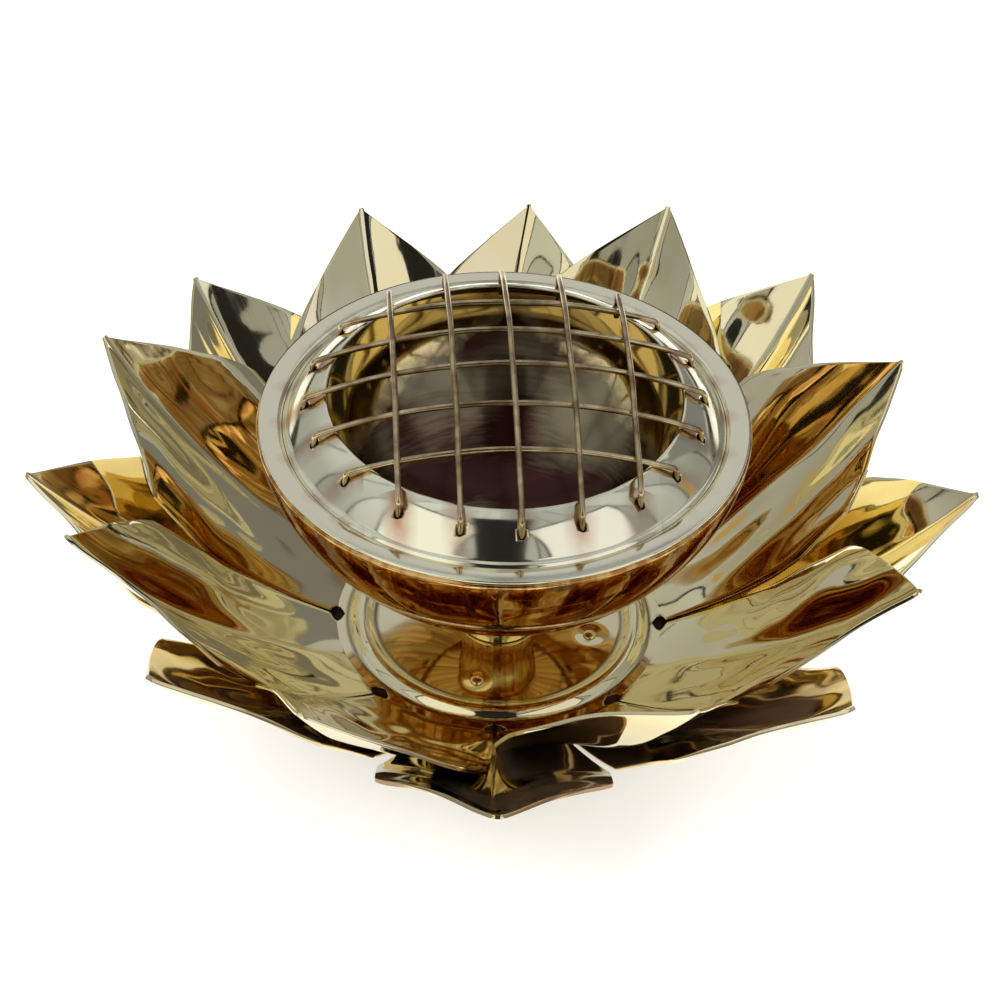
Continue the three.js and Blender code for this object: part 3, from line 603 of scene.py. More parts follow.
def offset_outline(line, thickness):
    """A closed outline of even thickness round a centre line that runs outwards."""
    sides = ([], [])
    for i, (r, z) in enumerate(line):
        r0, z0 = line[max(i - 1, 0)]
        r1, z1 = line[min(i + 1, len(line) - 1)]
        length = math.hypot(r1 - r0, z1 - z0)
        for side, sign in zip(sides, (-0.5, 0.5)):
            shift = sign * thickness / length
            side.append((r - (z1 - z0) * shift, z + (r1 - r0) * shift))
    return sides[0] + sides[1][::-1]


FOOT_RADIUS = 29
FOOT_BULGE = 0.5
FOOT_DRAWN_IN = 4.5
FOOT_WALL = 1
LIP_Z = FOOT_WALL / 2
TOP_Z = 9.5
foot_line = [(FOOT_RADIUS - 2, LIP_Z), (FOOT_RADIUS - 0.5, LIP_Z)]
for i in range(13):
    t = math.radians(90 * i / 12)
    reach = FOOT_RADIUS + FOOT_BULGE * math.sin(t) - FOOT_DRAWN_IN * (1 - math.cos(t))
    foot_line.append((reach, LIP_Z + (TOP_Z - LIP_Z) * math.sin(t)))
foot_line.append((BORE_RADIUS / MM, TOP_Z))
spun = bpy.data.materials.new("spun_brass")
foot = turned("spun_foot", offset_outline(foot_line, FOOT_WALL), 128, spun)

tree, shader, where = bare_metal(spun)
height = add(tree, "ShaderNodeSeparateXYZ", [where]).outputs["Z"]
lathe_line = add(tree, "ShaderNodeCombineXYZ", [from_axis(tree, where), height])
lines = add(tree, "ShaderNodeTexNoise", {"Vector": lathe_line, "Scale": 1 / (0.5 * MM), "Detail": 2.0})
cloud = add(tree, "ShaderNodeTexNoise", {"Vector": where, "Scale": 1 / (14 * MM), "Detail": 4.0})
colour = add(tree, "ShaderNodeMix", {0: cloud, 6: linear("#EBD79C"), 7: linear("#D9BC7C")}, data_type="RGBA")
gloss = {"Value": lines, "From Min": 0.3, "From Max": 0.7, "To Min": 0.06, "To Max": 0.2}
gloss = add(tree, "ShaderNodeMapRange", gloss)
bump = add(tree, "ShaderNodeBump", {"Strength": 0.3, "Distance": 0.02 * MM, "Height": lines})
feed(tree, shader, {"Base Color": colour.outputs[2], "Roughness": gloss, "Normal": bump})
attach(foot, "burner")
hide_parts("foot")

steel = bpy.data.materials.new("turned_mild_steel")
washer = turned("foot_washer_ring", rounded([(2.15, 8.1), (5.2, 8.1), (5.2, 9), (2.15, 9)], 0.15), 64, steel)
SCREW_Z = 5.7
screw_corners = [(0, SCREW_Z), (3, SCREW_Z), (3.7, 6.7), (3.7, 8.1)]
screw_corners += [(2, 8.1), (2, 18.6), (1, 19.6), (0, 19.6)]
screw = turned("foot_screw_slotted", rounded(screw_corners, 0.2), 64, steel)
slot_cutter = bmesh.new()
bmesh.ops.create_cube(slot_cutter, size=1, matrix=Matrix.Diagonal((12 * MM, 0.9 * MM, 2 * MM, 1)))
cutter_mesh = bpy.data.meshes.new("screwdriver_slot")
slot_cutter.to_mesh(cutter_mesh)
slot_cutter.free()
cutter_mesh.transform(Matrix.Translation((0, 0, SCREW_Z * MM)))
cutter = put("screwdriver_slot", cutter_mesh)
cut = screw.modifiers.new("Slot", "BOOLEAN")
cut.object = cutter
cut.solver = "EXACT"
screw = settle(screw, "foot_screw_slotted")
bpy.data.objects.remove(cutter)

tree, shader, where = bare_metal(steel)
cloud = add(tree, "ShaderNodeTexNoise", {"Vector": where, "Scale": 1 / (2 * MM), "Detail": 4.0})
colour = add(tree, "ShaderNodeMix", {0: cloud, 6: linear("#B9B8B4"), 7: linear("#94918B")}, data_type="RGBA")
gloss = add(tree, "ShaderNodeMapRange", {"Value": cloud, "To Min": 0.22, "To Max": 0.45})
feed(tree, shader, {"Base Color": colour.outputs[2], "Roughness": gloss})
for piece, node in ((washer, "foot_washer"), (screw, "foot_screw")):
    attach(piece, "burner")
    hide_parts(node)

# Rivets. Four 1.6 mm brass rivets join foot and sheets. Their low domed heads sit in shallow dishes that
# the closing blow has pressed into the floor, and their tails are formed under the foot.
SHANK = 0.8
HEAD = 1.4
HEAD_Z = 11.35
HEAD_RISE = 0.7
rivet_profile = [(0, 8.3), (1, 8.3), (HEAD, 8.58), (HEAD, 9), (SHANK, 9), (SHANK, HEAD_Z)]
for i in range(9):
    t = math.radians(90 * i / 8)
    rivet_profile.append((HEAD * math.cos(t), HEAD_Z + HEAD_RISE * math.sin(t)))
one_rivet = turned("rivet_blank", rivet_profile, 32, spun)
tree = bpy.data.node_groups.new("Rivets on a circle", "GeometryNodeTree")
sockets(tree, "Geometry", "Rivet")
sockets(tree, "Int", "Count")
sockets(tree, "Float", "Circle radius", "First turn")
sockets(tree, "Material", "Material")
sockets(tree, "Geometry", "Rivets", in_out="OUTPUT")
size = add(tree, "NodeGroupInput").outputs
ring = add(tree, "GeometryNodeMeshCircle", {"Vertices": size["Count"], "Radius": size["Circle radius"]})
first = add(tree, "ShaderNodeCombineXYZ", [0.0, 0.0, size["First turn"]])
ring = add(tree, "GeometryNodeTransform", {"Geometry": ring, "Rotation": first})
copies = add(tree, "GeometryNodeInstanceOnPoints", {"Points": ring, "Instance": size["Rivet"]})
close_tree(tree, copies, size["Material"])
rivet_sizes = {"Count": 4, "Circle radius": RIVET_CIRCLE, "First turn": RIVET_TURN, "Material": spun}
run_tree(one_rivet, "Set out", tree, rivet_sizes)
rivets = settle(one_rivet, "floor_rivets")
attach(rivets, "burner")
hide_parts("rivet_1", "rivet_2", "rivet_3", "rivet_4")

# Stem. A waisted turned brass post, bored from below for the screw and soft-soldered to the bowl's seat.
FLOOR_Z = 11.6
STEM_TOP = 26.6
BORE_TOP = FLOOR_Z + 10
WAIST = 7.5
FLARE = 0.7
stem_profile = [(0, BORE_TOP), (2.15, BORE_TOP), (2.15, FLOOR_Z)]
for i in range(25):
    t = i / 24
    stem_profile.append((WAIST + FLARE * math.cos(math.pi * t) ** 2, FLOOR_Z + (STEM_TOP - FLOOR_Z) * t))
stem_profile.append((0, STEM_TOP))
stem = turned("turned_stem", stem_profile, 96, spun)
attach(stem, "burner")
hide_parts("stem")

# Bowl. Turned brass, 1.6 mm at the seat and 3.6 mm at the rim, polished outside with one fine turned line
# under the rim. Inside, charcoal has left a brown and grey film, scoured in circles, that reaches highest
# at the back. The rest of the inside is still bright.
RIM_Z = 64.6
RIM_RADIUS = 50
RIM_WALL = 3.6
SEAT_RADIUS = 12
SEAT_WALL = 1.6
BOWL_ROUND = 1.25
BOWL_SEGMENTS = 160
LINE_Z = RIM_Z - 5
LINE_DEPTH = 0.25
LINE_WIDTH = 0.3


def bowl_side(inner, outer, low, high, steps):
    """Quarter of a superellipse from the seat up to the rim."""
    side = []
    for i in range(steps + 1):
        t = math.pi / 2 * i / steps
        r = inner + (outer - inner) * max(math.sin(t), 0) ** BOWL_ROUND
        side.append((r, high - (high - low) * max(math.cos(t), 0) ** BOWL_ROUND))
    return side


inside_floor = STEM_TOP + SEAT_WALL
outside = bowl_side(SEAT_RADIUS, RIM_RADIUS, STEM_TOP, RIM_Z - 0.5, 48)
inside = bowl_side(SEAT_RADIUS - SEAT_WALL, RIM_RADIUS - RIM_WALL, inside_floor, RIM_Z, 48)
scored = []
for r, z in outside:
    depth = LINE_DEPTH * math.exp(-(((z - LINE_Z) / LINE_WIDTH) ** 2))
    scored.append((r - depth, z))
rim_edge = [(RIM_RADIUS - 0.15, RIM_Z - 0.2), (RIM_RADIUS - 0.5, RIM_Z)]
bowl_profile = [(0, STEM_TOP), *scored, *rim_edge, *inside[::-1], (0, inside_floor)]
bowl_brass = bpy.data.materials.new("polished_bowl_brass_with_soot")
bowl = turned("charcoal_bowl", bowl_profile, BOWL_SEGMENTS, bowl_brass)
soot = bowl.data.attributes.new("inside", "FLOAT", "POINT")
outer_points = 1 + (len(scored) + len(rim_edge)) * BOWL_SEGMENTS
soot.data.foreach_set("value", [0.0] * outer_points + [1.0] * (len(bowl.data.vertices) - outer_points))

tree, shader, where = bare_metal(bowl_brass)
spot = add(tree, "ShaderNodeSeparateXYZ", [where]).outputs
within = add(tree, "ShaderNodeAttribute", attribute_name="inside").outputs["Fac"]
cloud = {"Vector": where, "Scale": 1 / (11 * MM), "Detail": 5.0, "Roughness": 0.62}
cloud = add(tree, "ShaderNodeTexNoise", cloud)
depth = add(tree, "ShaderNodeMath", [cloud, 14 * MM, spot["Z"]], "MULTIPLY_ADD")
depth = add(tree, "ShaderNodeMath", [spot["Y"], -0.2, depth], "MULTIPLY_ADD")
sideways = add(tree, "ShaderNodeMath", [spot["X"]], "ABSOLUTE")
depth = add(tree, "ShaderNodeMath", [sideways, 0.35, depth], "MULTIPLY_ADD")
sooty = add(
    tree,
    "ShaderNodeMapRange",
    {"Value": depth, "From Min": 55 * MM, "From Max": 59 * MM, "To Min": 1.0, "To Max": 0.0},
)
sooty = add(tree, "ShaderNodeMath", [sooty, within], "MULTIPLY")
spoke = add(tree, "ShaderNodeVectorMath", [where, (1.0, 1.0, 0.0)], "MULTIPLY")
bearing = add(tree, "ShaderNodeVectorMath", [spoke], "NORMALIZE")
drip = add(tree, "ShaderNodeVectorMath", [where, (0.0, 0.0, 6.0), bearing], "MULTIPLY_ADD")
drip = add(tree, "ShaderNodeTexNoise", {"Vector": drip, "Scale": 16.0, "Detail": 3.0, "Roughness": 0.6})
streak = add(tree, "ShaderNodeMapRange", {"Value": drip, "From Min": 0.42, "From Max": 0.6})
worn = add(tree, "ShaderNodeMix", {0: streak, 6: linear("#DDB672"), 7: linear("#B47A40")}, data_type="RGBA")
bright = add(tree, "ShaderNodeMix", {0: cloud, 6: linear("#E9D8A0"), 7: linear("#D9BE80")}, data_type="RGBA")
clean = add(tree, "ShaderNodeMix", {0: within, 6: worn.outputs[2], 7: bright.outputs[2]}, data_type="RGBA")
spoke = add(tree, "ShaderNodeVectorMath", [spoke], "LENGTH").outputs["Value"]
spoke = add(tree, "ShaderNodeMath", [spoke, 0.5 * MM], "DIVIDE")
scratch = add(tree, "ShaderNodeCombineXYZ", [0.0, 0.0, spoke])
scratch = add(tree, "ShaderNodeVectorMath", [bearing, (5.0, 5.0, 0.0), scratch], "MULTIPLY_ADD")
scratch = add(tree, "ShaderNodeTexNoise", {"Vector": scratch, "Scale": 1.0, "Detail": 3.0})
smear = add(tree, "ShaderNodeTexNoise", {"Vector": where, "Scale": 1 / (26 * MM), "Detail": 1.0})
ashen = add(tree, "ShaderNodeMath", [scratch, 0.16, smear], "MULTIPLY_ADD")
ashen = add(tree, "ShaderNodeMapRange", {"Value": ashen, "From Min": 0.52, "From Max": 0.68})
film = add(tree, "ShaderNodeMix", {0: ashen, 6: linear("#3E2219"), 7: linear("#7A7156")}, data_type="RGBA")
colour = add(tree, "ShaderNodeMix", {0: sooty, 6: clean.outputs[2], 7: film.outputs[2]}, data_type="RGBA")
rough = add(tree, "ShaderNodeMath", [sooty, 0.07, 0.03], "MULTIPLY_ADD")
rough = add(tree, "ShaderNodeMath", [scratch, 0.05, rough], "MULTIPLY_ADD")
bare = add(tree, "ShaderNodeMath", [sooty, -0.2, 1.0], "MULTIPLY_ADD")
grain = add(tree, "ShaderNodeMath", [scratch, sooty], "MULTIPLY")
without = add(tree, "ShaderNodeMath", [1.0, within], "SUBTRACT")
flow = add(tree, "ShaderNodeMath", [drip, without], "MULTIPLY")
grain = add(tree, "ShaderNodeMath", [flow, 3.0, grain], "MULTIPLY_ADD")
bump = add(tree, "ShaderNodeBump", {"Strength": 0.4, "Distance": 0.02 * MM, "Height": grain})
feed(tree, shader, {"Base Color": colour.outputs[2], "Metallic": bare, "Roughness": rough, "Normal": bump})
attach(bowl, "burner")
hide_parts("bowl")

# Screen lid. A ring pressed from 0.8 mm sheet and bright plated: a cone round the opening, a groove that
# drops into the bowl's mouth, and a flat flange on the rim. It lies loose, turned 4 degrees.
LID_TURN = math.radians(4)
RING_SHEET = 0.8
GROOVE_RADIUS = 44.8
GROOVE_HALF = 1.1
CONE_FOOT = GROOVE_RADIUS - GROOVE_HALF
OPENING = 35.8
FLANGE_Z = RIM_Z + 0.4
CONE_RISE = 7
CONE_BULGE = 0.9
HOLE_CIRCLE = 40.2
HOLE_RADIUS = 0.9
PITCH = 11.8
ASIDE = 1.2
OFFSETS = [(i - 2) * PITCH for i in range(5)]


def cone_height(r):
    t = (r - OPENING) / (CONE_FOOT - OPENING)
    return FLANGE_Z + CONE_RISE * (1 - t) + CONE_BULGE * math.sin(math.pi * t)


def wire_reach(offset):
    """Distance from a wire's middle to its ends on the circle of holes."""
    return math.sqrt(HOLE_CIRCLE**2 - offset**2)


ring_line = []
for i in range(14):
    r = OPENING + (CONE_FOOT - OPENING) * i / 14
    ring_line.append((r, cone_height(r)))
for i in range(13):
    across = i / 6 - 1
    depth = RING_SHEET * math.cos(math.pi / 2 * across) ** 2
    ring_line.append((GROOVE_RADIUS + GROOVE_HALF * across, FLANGE_Z - depth))
ring_line += [(47.5, FLANGE_Z), (49.2, FLANGE_Z), (49.6, FLANGE_Z - 0.02)]
plated = bpy.data.materials.new("bright_nickel_plate_with_heat_tint")
ring = turned("screen_ring_blank", offset_outline(ring_line, RING_SHEET), 192, plated)

tree = bpy.data.node_groups.new("Wire holes", "GeometryNodeTree")
sockets(tree, "Geometry", "Ring")
sockets(tree, "Object", "Centres")
sockets(tree, "Float", "Hole radius", "Drill length")
sockets(tree, "Material", "Material")
sockets(tree, "Geometry", "Drilled", in_out="OUTPUT")
size = add(tree, "NodeGroupInput").outputs
centres = add(tree, "GeometryNodeObjectInfo", [size["Centres"]]).outputs["Geometry"]
drill = add(
    tree,
    "GeometryNodeMeshCylinder",
    {"Vertices": 24, "Radius": size["Hole radius"], "Depth": size["Drill length"]},
)
drills = add(tree, "GeometryNodeInstanceOnPoints", {"Points": centres, "Instance": drill})
drills = add(tree, "GeometryNodeRealizeInstances", [drills])
drilled = add(
    tree,
    "GeometryNodeMeshBoolean",
    {"Mesh 1": size["Ring"], "Mesh 2": drills},
    "DIFFERENCE",
    solver="EXACT",
)
close_tree(tree, drilled, size["Material"])
hole_points = []
drill_z = (FLANGE_Z + 4) * MM
for sign in (-1, 1):
    hole_points += [(sign * wire_reach(o) * MM, o * MM, drill_z) for o in OFFSETS]
    hole_points += [((o + ASIDE) * MM, sign * wire_reach(o + ASIDE) * MM, drill_z) for o in OFFSETS]
hole_mesh = bpy.data.meshes.new("hole_centres")
hole_mesh.from_pydata(hole_points, [], [])
hole_centres = put("hole_centres", hole_mesh)
drill_sizes = {"Centres": hole_centres, "Hole radius": HOLE_RADIUS * MM, "Drill length": 14 * MM}
run_tree(ring, "Drill", tree, {**drill_sizes, "Material": plated})
ring = settle(ring, "screen_ring_plated")
bpy.data.objects.remove(hole_centres)
ring.data.transform(Matrix.Rotation(LID_TURN, 4, "Z"))

# Nickel plate: warm white, nearly a mirror. Soldering has left pinkish brown tints round the wire holes,
# longer along the cone than round it.
HALO_SQUEEZE = 0.45
ENDS_BEYOND = 29 * MM
halo_fade = {"From Min": HOLE_RADIUS * MM, "From Max": 4 * MM, "To Min": 1.0, "To Max": 0.0}
tree, shader, where = bare_metal(plated)
cloud = add(tree, "ShaderNodeTexNoise", {"Vector": where, "Scale": 1 / (9 * MM), "Detail": 4.0})
turned_back = add(tree, "ShaderNodeMapping", {"Vector": where, "Rotation": (0, 0, -LID_TURN)})
spot = add(tree, "ShaderNodeSeparateXYZ", [turned_back]).outputs
spoke = add(tree, "ShaderNodeMath", [from_axis(tree, where), (HOLE_CIRCLE - 1) * MM], "SUBTRACT")
spoke = add(tree, "ShaderNodeMath", [spoke, HALO_SQUEEZE], "MULTIPLY")
halos = []
for axis, other, shift in (("X", "Y", ASIDE * MM), ("Y", "X", 0.0)):
    lane = add(tree, "ShaderNodeMath", [spot[axis], shift], "SUBTRACT")
    lane = add(tree, "ShaderNodeMath", [lane, PITCH * MM / 2, -PITCH * MM / 2], "WRAP")
    lane = add(tree, "ShaderNodeMath", [lane, lane], "MULTIPLY")
    reach = add(tree, "ShaderNodeMath", [spoke, spoke, lane], "MULTIPLY_ADD")
    reach = add(tree, "ShaderNodeMath", [reach], "SQRT")
    end = add(tree, "ShaderNodeMath", [spot[other]], "ABSOLUTE")
    end = add(tree, "ShaderNodeMath", [end, ENDS_BEYOND], "GREATER_THAN")
    halo = add(tree, "ShaderNodeMapRange", {"Value": reach, **halo_fade})
    halos.append(add(tree, "ShaderNodeMath", [halo, end], "MULTIPLY"))
near_hole = add(tree, "ShaderNodeMath", halos, "MAXIMUM")
patchy = add(tree, "ShaderNodeMapRange", {"Value": cloud, "From Min": 0.35, "From Max": 0.7, "To Min": 0.25})
tint = add(tree, "ShaderNodeMath", [near_hole, patchy], "MULTIPLY", use_clamp=True)
colour = add(tree, "ShaderNodeMix", {0: tint, 6: linear("#F8F3D0"), 7: linear("#BC8A68")}, data_type="RGBA")
gloss = add(tree, "ShaderNodeMapRange", {"Value": cloud, "To Min": 0.05, "To Max": 0.12})
rough = add(tree, "ShaderNodeMath", [tint, 0.12, gloss], "MULTIPLY_ADD")
bump = add(tree, "ShaderNodeBump", {"Strength": 0.3, "Distance": 0.05 * MM, "Height": cloud})
feed(tree, shader, {"Base Color": colour.outputs[2], "Roughness": rough, "Normal": bump})
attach(ring, "screen_lid")
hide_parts("screen_ring")

# Screen wires. Ten drawn bronze wires of 1.2 mm, five each way. Each is domed, hooked down through a hole
# in the ring at both ends and soldered there. The lengthwise ones lie on top of the others.
DOME = 100
WIRE_LIFT = 2.1
LAYERS_APART = 1.22
tree = bpy.data.node_groups.new("Screen wires", "GeometryNodeTree")
sockets(tree, "Geometry", "Wires")
sockets(tree, "Float", "Wire radius", "Dome radius", "Hole circle", "Bend radius")
sockets(tree, "Float", "Leg bottom", "Dome base", "Waver")
sockets(tree, "Int", "Points")
sockets(tree, "Material", "Material")
sockets(tree, "Geometry", "Screen", in_out="OUTPUT")
size = add(tree, "NodeGroupInput").outputs
line = add(tree, "GeometryNodeMeshLine", {"Count": size["Points"], "Offset": (1.0, 0.0, 0.0)}, mode="OFFSET")
copies = add(tree, "GeometryNodeInstanceOnPoints", {"Points": size["Wires"], "Instance": line})
lines = add(tree, "GeometryNodeRealizeInstances", [copies])
step = add(tree, "ShaderNodeSeparateXYZ", [add(tree, "GeometryNodeInputPosition")]).outputs["X"]
offset, lift, turn, corner = (
    add(tree, "GeometryNodeInputNamedAttribute", [name]) for name in ("offset", "lift", "turn", "corner")
)
last = add(tree, "ShaderNodeMath", [size["Points"], 2.0], "SUBTRACT")
share = add(tree, "ShaderNodeMapRange", {"Value": step, "From Min": 1.0, "From Max": last, "To Min": -1.0})
square = add(tree, "ShaderNodeMath", [offset, offset], "MULTIPLY")
end = add(tree, "ShaderNodeMath", [size["Hole circle"], size["Hole circle"]], "MULTIPLY")
end = add(tree, "ShaderNodeMath", [end, square], "SUBTRACT")
end = add(tree, "ShaderNodeMath", [end], "SQRT")
reach = add(tree, "ShaderNodeMath", [share, end], "MULTIPLY")
height = add(tree, "ShaderNodeMath", [size["Dome radius"], size["Dome radius"]], "MULTIPLY")
height = add(tree, "ShaderNodeMath", [height, square], "SUBTRACT")
drop = add(tree, "ShaderNodeMath", [reach, reach], "MULTIPLY")
height = add(tree, "ShaderNodeMath", [height, drop], "SUBTRACT")
height = add(tree, "ShaderNodeMath", [height], "SQRT")
height = add(tree, "ShaderNodeMath", [height, size["Dome base"]], "ADD")
height = add(tree, "ShaderNodeMath", [height, lift], "ADD")
middle = add(tree, "ShaderNodeMath", [last, 0.5, 0.5], "MULTIPLY_ADD")
from_middle = add(tree, "ShaderNodeMath", [step, middle], "SUBTRACT")
from_middle = add(tree, "ShaderNodeMath", [from_middle], "ABSOLUTE")
at_leg = add(tree, "ShaderNodeMath", [from_middle, middle, 0.25], "COMPARE")
height = add(tree, "ShaderNodeMix", {0: at_leg, 2: height, 3: size["Leg bottom"]})
noise = add(tree, "ShaderNodeCombineXYZ", [reach, offset, turn])
noise = add(tree, "ShaderNodeTexNoise", {"Vector": noise, "Scale": 1 / (18 * MM), "Detail": 0.0})
waver = add(tree, "ShaderNodeMapRange", {"Value": noise, "To Min": -1.0})
waver = add(tree, "ShaderNodeMath", [waver, size["Waver"]], "MULTIPLY")
held = add(tree, "ShaderNodeMath", [share, share], "MULTIPLY")
held = add(tree, "ShaderNodeMath", [1.0, held], "SUBTRACT")
waver = add(tree, "ShaderNodeMath", [waver, held, offset], "MULTIPLY_ADD")
point = add(tree, "ShaderNodeCombineXYZ", [reach, waver, height])
point = add(tree, "ShaderNodeVectorRotate", {"Vector": point, "Angle": turn}, rotation_type="Z_AXIS")
knee = add(tree, "ShaderNodeMath", [middle, 1.0], "SUBTRACT")
knee = add(tree, "ShaderNodeMath", [from_middle, knee, 0.25], "COMPARE")
kept = add(tree, "GeometryNodeStoreNamedAttribute", {"Geometry": lines, "Name": "corner", "Value": knee})
placed = add(tree, "GeometryNodeSetPosition", {"Geometry": kept, "Position": point})
paths = add(tree, "GeometryNodeMeshToCurve", [placed])
bend = add(tree, "ShaderNodeMath", [corner, size["Bend radius"]], "MULTIPLY")
paths = add(
    tree,
    "GeometryNodeFilletCurve",
    {"Curve": paths, "Radius": bend, "Limit Radius": True, "Count": 8},
    mode="POLY",
)
section = add(tree, "GeometryNodeCurvePrimitiveCircle", {"Resolution": 14, "Radius": size["Wire radius"]})
tube = add(tree, "GeometryNodeCurveToMesh", {"Curve": paths, "Profile Curve": section, "Fill Caps": True})
smooth = add(tree, "GeometryNodeSetShadeSmooth", {"Geometry": tube})
close_tree(tree, smooth, size["Material"])

bronze = bpy.data.materials.new("drawn_bronze_wire")
hole_z = cone_height(HOLE_CIRCLE) + 0.4
dome_base = hole_z - math.sqrt(DOME**2 - HOLE_CIRCLE**2)
layer_lift = LAYERS_APART * DOME / math.sqrt(DOME**2 - (OFFSETS[4] + ASIDE) ** 2 - OFFSETS[4] ** 2)
columns = {
    "offset": [o * MM for o in OFFSETS] + [-(o + ASIDE) * MM for o in OFFSETS],
    "lift": [WIRE_LIFT * MM] * 5 + [(WIRE_LIFT + layer_lift) * MM] * 5,
    "turn": [LID_TURN] * 5 + [LID_TURN + math.pi / 2] * 5,
}
wires = carrier("wire_starts", columns, 10)
run_tree(
    wires,
    "Bend",
    tree,
    {
        "Wire radius": 0.6 * MM,
        "Dome radius": DOME * MM,
        "Hole circle": HOLE_CIRCLE * MM,
        "Bend radius": 1.5 * MM,
        "Leg bottom": (cone_height(HOLE_CIRCLE) - 2.2) * MM,
        "Dome base": dome_base * MM,
        "Waver": 0.3 * MM,
        "Points": 29,
        "Material": bronze,
    },
)
wires = settle(wires, "screen_wires")

tree, shader, where = bare_metal(bronze)
cloud = add(tree, "ShaderNodeTexNoise", {"Vector": where, "Scale": 1 / (5 * MM), "Detail": 4.0})
tone = add(tree, "ShaderNodeMapRange", {"Value": cloud, "From Min": 0.35, "From Max": 0.65})
colour = add(tree, "ShaderNodeMix", {0: tone, 6: linear("#D2BF92"), 7: linear("#8F7450")}, data_type="RGBA")
gloss = add(tree, "ShaderNodeMapRange", {"Value": cloud, "To Min": 0.1, "To Max": 0.28})
feed(tree, shader, {"Base Color": colour.outputs[2], "Roughness": gloss})
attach(wires, "screen_lid")
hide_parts(*[f"screen_wire_{way}_{i}" for way in ("cross", "long") for i in range(1, 6)])

# Camera, 778 mm from the middle of the lid and 39 degrees above the horizon, as the photograph was taken.
LOOK_UP = math.radians(39.012)
CAMERA_AWAY = 0.77799
AIM_Z = 0.0654
AIM_LOWER = 0.020839
AIM_LEFT = 0.000548
CAMERA_ROLL = math.radians(1.741)
eye = Vector((0, -CAMERA_AWAY * math.cos(LOOK_UP), AIM_Z + CAMERA_AWAY * math.sin(LOOK_UP)))
forward = Vector((0, math.cos(LOOK_UP), -math.sin(LOOK_UP)))
upward = Vector((0, math.sin(LOOK_UP), math.cos(LOOK_UP)))
aim = forward - upward * AIM_LOWER - Vector((1, 0, 0)) * AIM_LEFT
camera_data = bpy.data.cameras.new("camera")
camera_data.lens = 139.07
camera_data.sensor_width = 36
camera = put("camera", camera_data)
camera.location = eye
camera.rotation_mode = "QUATERNION"
camera.rotation_quaternion = aim.to_track_quat("-Z", "Y") @ Quaternion((0, 0, 1), CAMERA_ROLL)
scene.camera = camera

# Pale paper floor that keeps the soft shadow. Further out the camera and the reflections see it turn
# pure white, so that it has no edge.
def seen_directly(tree):
    """1 for rays from the camera or a reflection, 0 for those that only light the scene."""
    path = add(tree, "ShaderNodeLightPath").outputs
    seen = add(tree, "ShaderNodeMath", [path["Is Camera Ray"], path["Is Glossy Ray"]], "MAXIMUM")
    return add(tree, "ShaderNodeMath", [seen, path["Is Transmission Ray"]], "MAXIMUM")


FLOOR_REACH = 3
WHITE_FROM = 0.3
WHITE_AT = 0.9
floor_mesh = bpy.data.meshes.new("floor")
floor_corners = [(x * FLOOR_REACH, y * FLOOR_REACH, 0) for x, y in ((-1, -1), (1, -1), (1, 1), (-1, 1))]
floor_mesh.from_pydata(floor_corners, [], [(0, 1, 2, 3)])
floor = put("floor", floor_mesh)
floor_paint = bpy.data.materials.new("matt_white_paper")
floor_paint.use_nodes = True
tree = floor_paint.node_tree
shader = tree.nodes["Principled BSDF"]
shader.inputs["Base Color"].default_value = (0.6, 0.6, 0.6, 1)
shader.inputs["Roughness"].default_value = 0.9
shader.inputs["Specular IOR Level"].default_value = 0.0
shader.inputs["Emission Color"].default_value = (1, 1, 1, 1)
shader.inputs["Emission Strength"].default_value = 0.52
where = add(tree, "ShaderNodeTexCoord").outputs["Object"]
distance = add(tree, "ShaderNodeVectorMath", [where], "LENGTH").outputs["Value"]
far = add(
    tree,
    "ShaderNodeMapRange",
    {"Value": distance, "From Min": WHITE_FROM, "From Max": WHITE_AT},
    **SMOOTH,
)
far = add(tree, "ShaderNodeMath", [far, seen_directly(tree)], "MULTIPLY")
white = add(tree, "ShaderNodeEmission", {"Color": (1, 1, 1, 1), "Strength": 1.0})
blend = add(tree, "ShaderNodeMixShader", {0: far, 1: shader, 2: white})
feed(tree, tree.nodes["Material Output"], {"Surface": blend})
floor_mesh.materials.append(floor_paint)

# Light tent that only reflections see: a pale cloth dome of uneven panels, cool where it is bright, with
# soft lamps in black frames, dark seams, a few wooden posts and a dark opening for the camera.
def glow_paint(name, colour):
    paint = bpy.data.materials.new(name)
    paint.use_nodes = True
    paint.cycles.emission_sampling = "NONE"
    paint.node_tree.nodes.clear()
    glow = add(paint.node_tree, "ShaderNodeEmission", {"Color": colour, "Strength": 1.0})
    add(paint.node_tree, "ShaderNodeOutputMaterial", {"Surface": glow})
    return paint


def hang(name, mesh, paint):
    mesh.materials.append(paint)
    obj = put(name, mesh)
    obj.visible_camera = False
    obj.visible_diffuse = False
    obj.visible_shadow = False


TENT_RADIUS = 1.6
TENT_PANELS = 18
SEAM_FROM = 0.475
SKIRT_TOP = 0.11
TENT_BLACK = (0.02, 0.02, 0.02, 1)
dome_shape = bmesh.new()
bmesh.ops.create_uvsphere(dome_shape, u_segments=48, v_segments=24, radius=TENT_RADIUS)
low = [v for v in dome_shape.verts if v.co.z < -0.05]
bmesh.ops.delete(dome_shape, geom=low, context="VERTS")
dome_mesh = bpy.data.meshes.new("tent_cloth")
dome_shape.to_mesh(dome_mesh)
dome_shape.free()
cloth = glow_paint("tent_cloth", (0.6, 0.6, 0.6, 1))
tree = cloth.node_tree
where = add(tree, "ShaderNodeTexCoord").outputs["Object"]
spot = add(tree, "ShaderNodeSeparateXYZ", [where]).outputs
level = add(tree, "ShaderNodeMapRange", {"Value": spot["Z"], "From Min": 0.25, "From Max": 1.3}, **SMOOTH)
folds = add(tree, "ShaderNodeTexNoise", {"Vector": where, "Scale": 1.3, "Detail": 1.0})
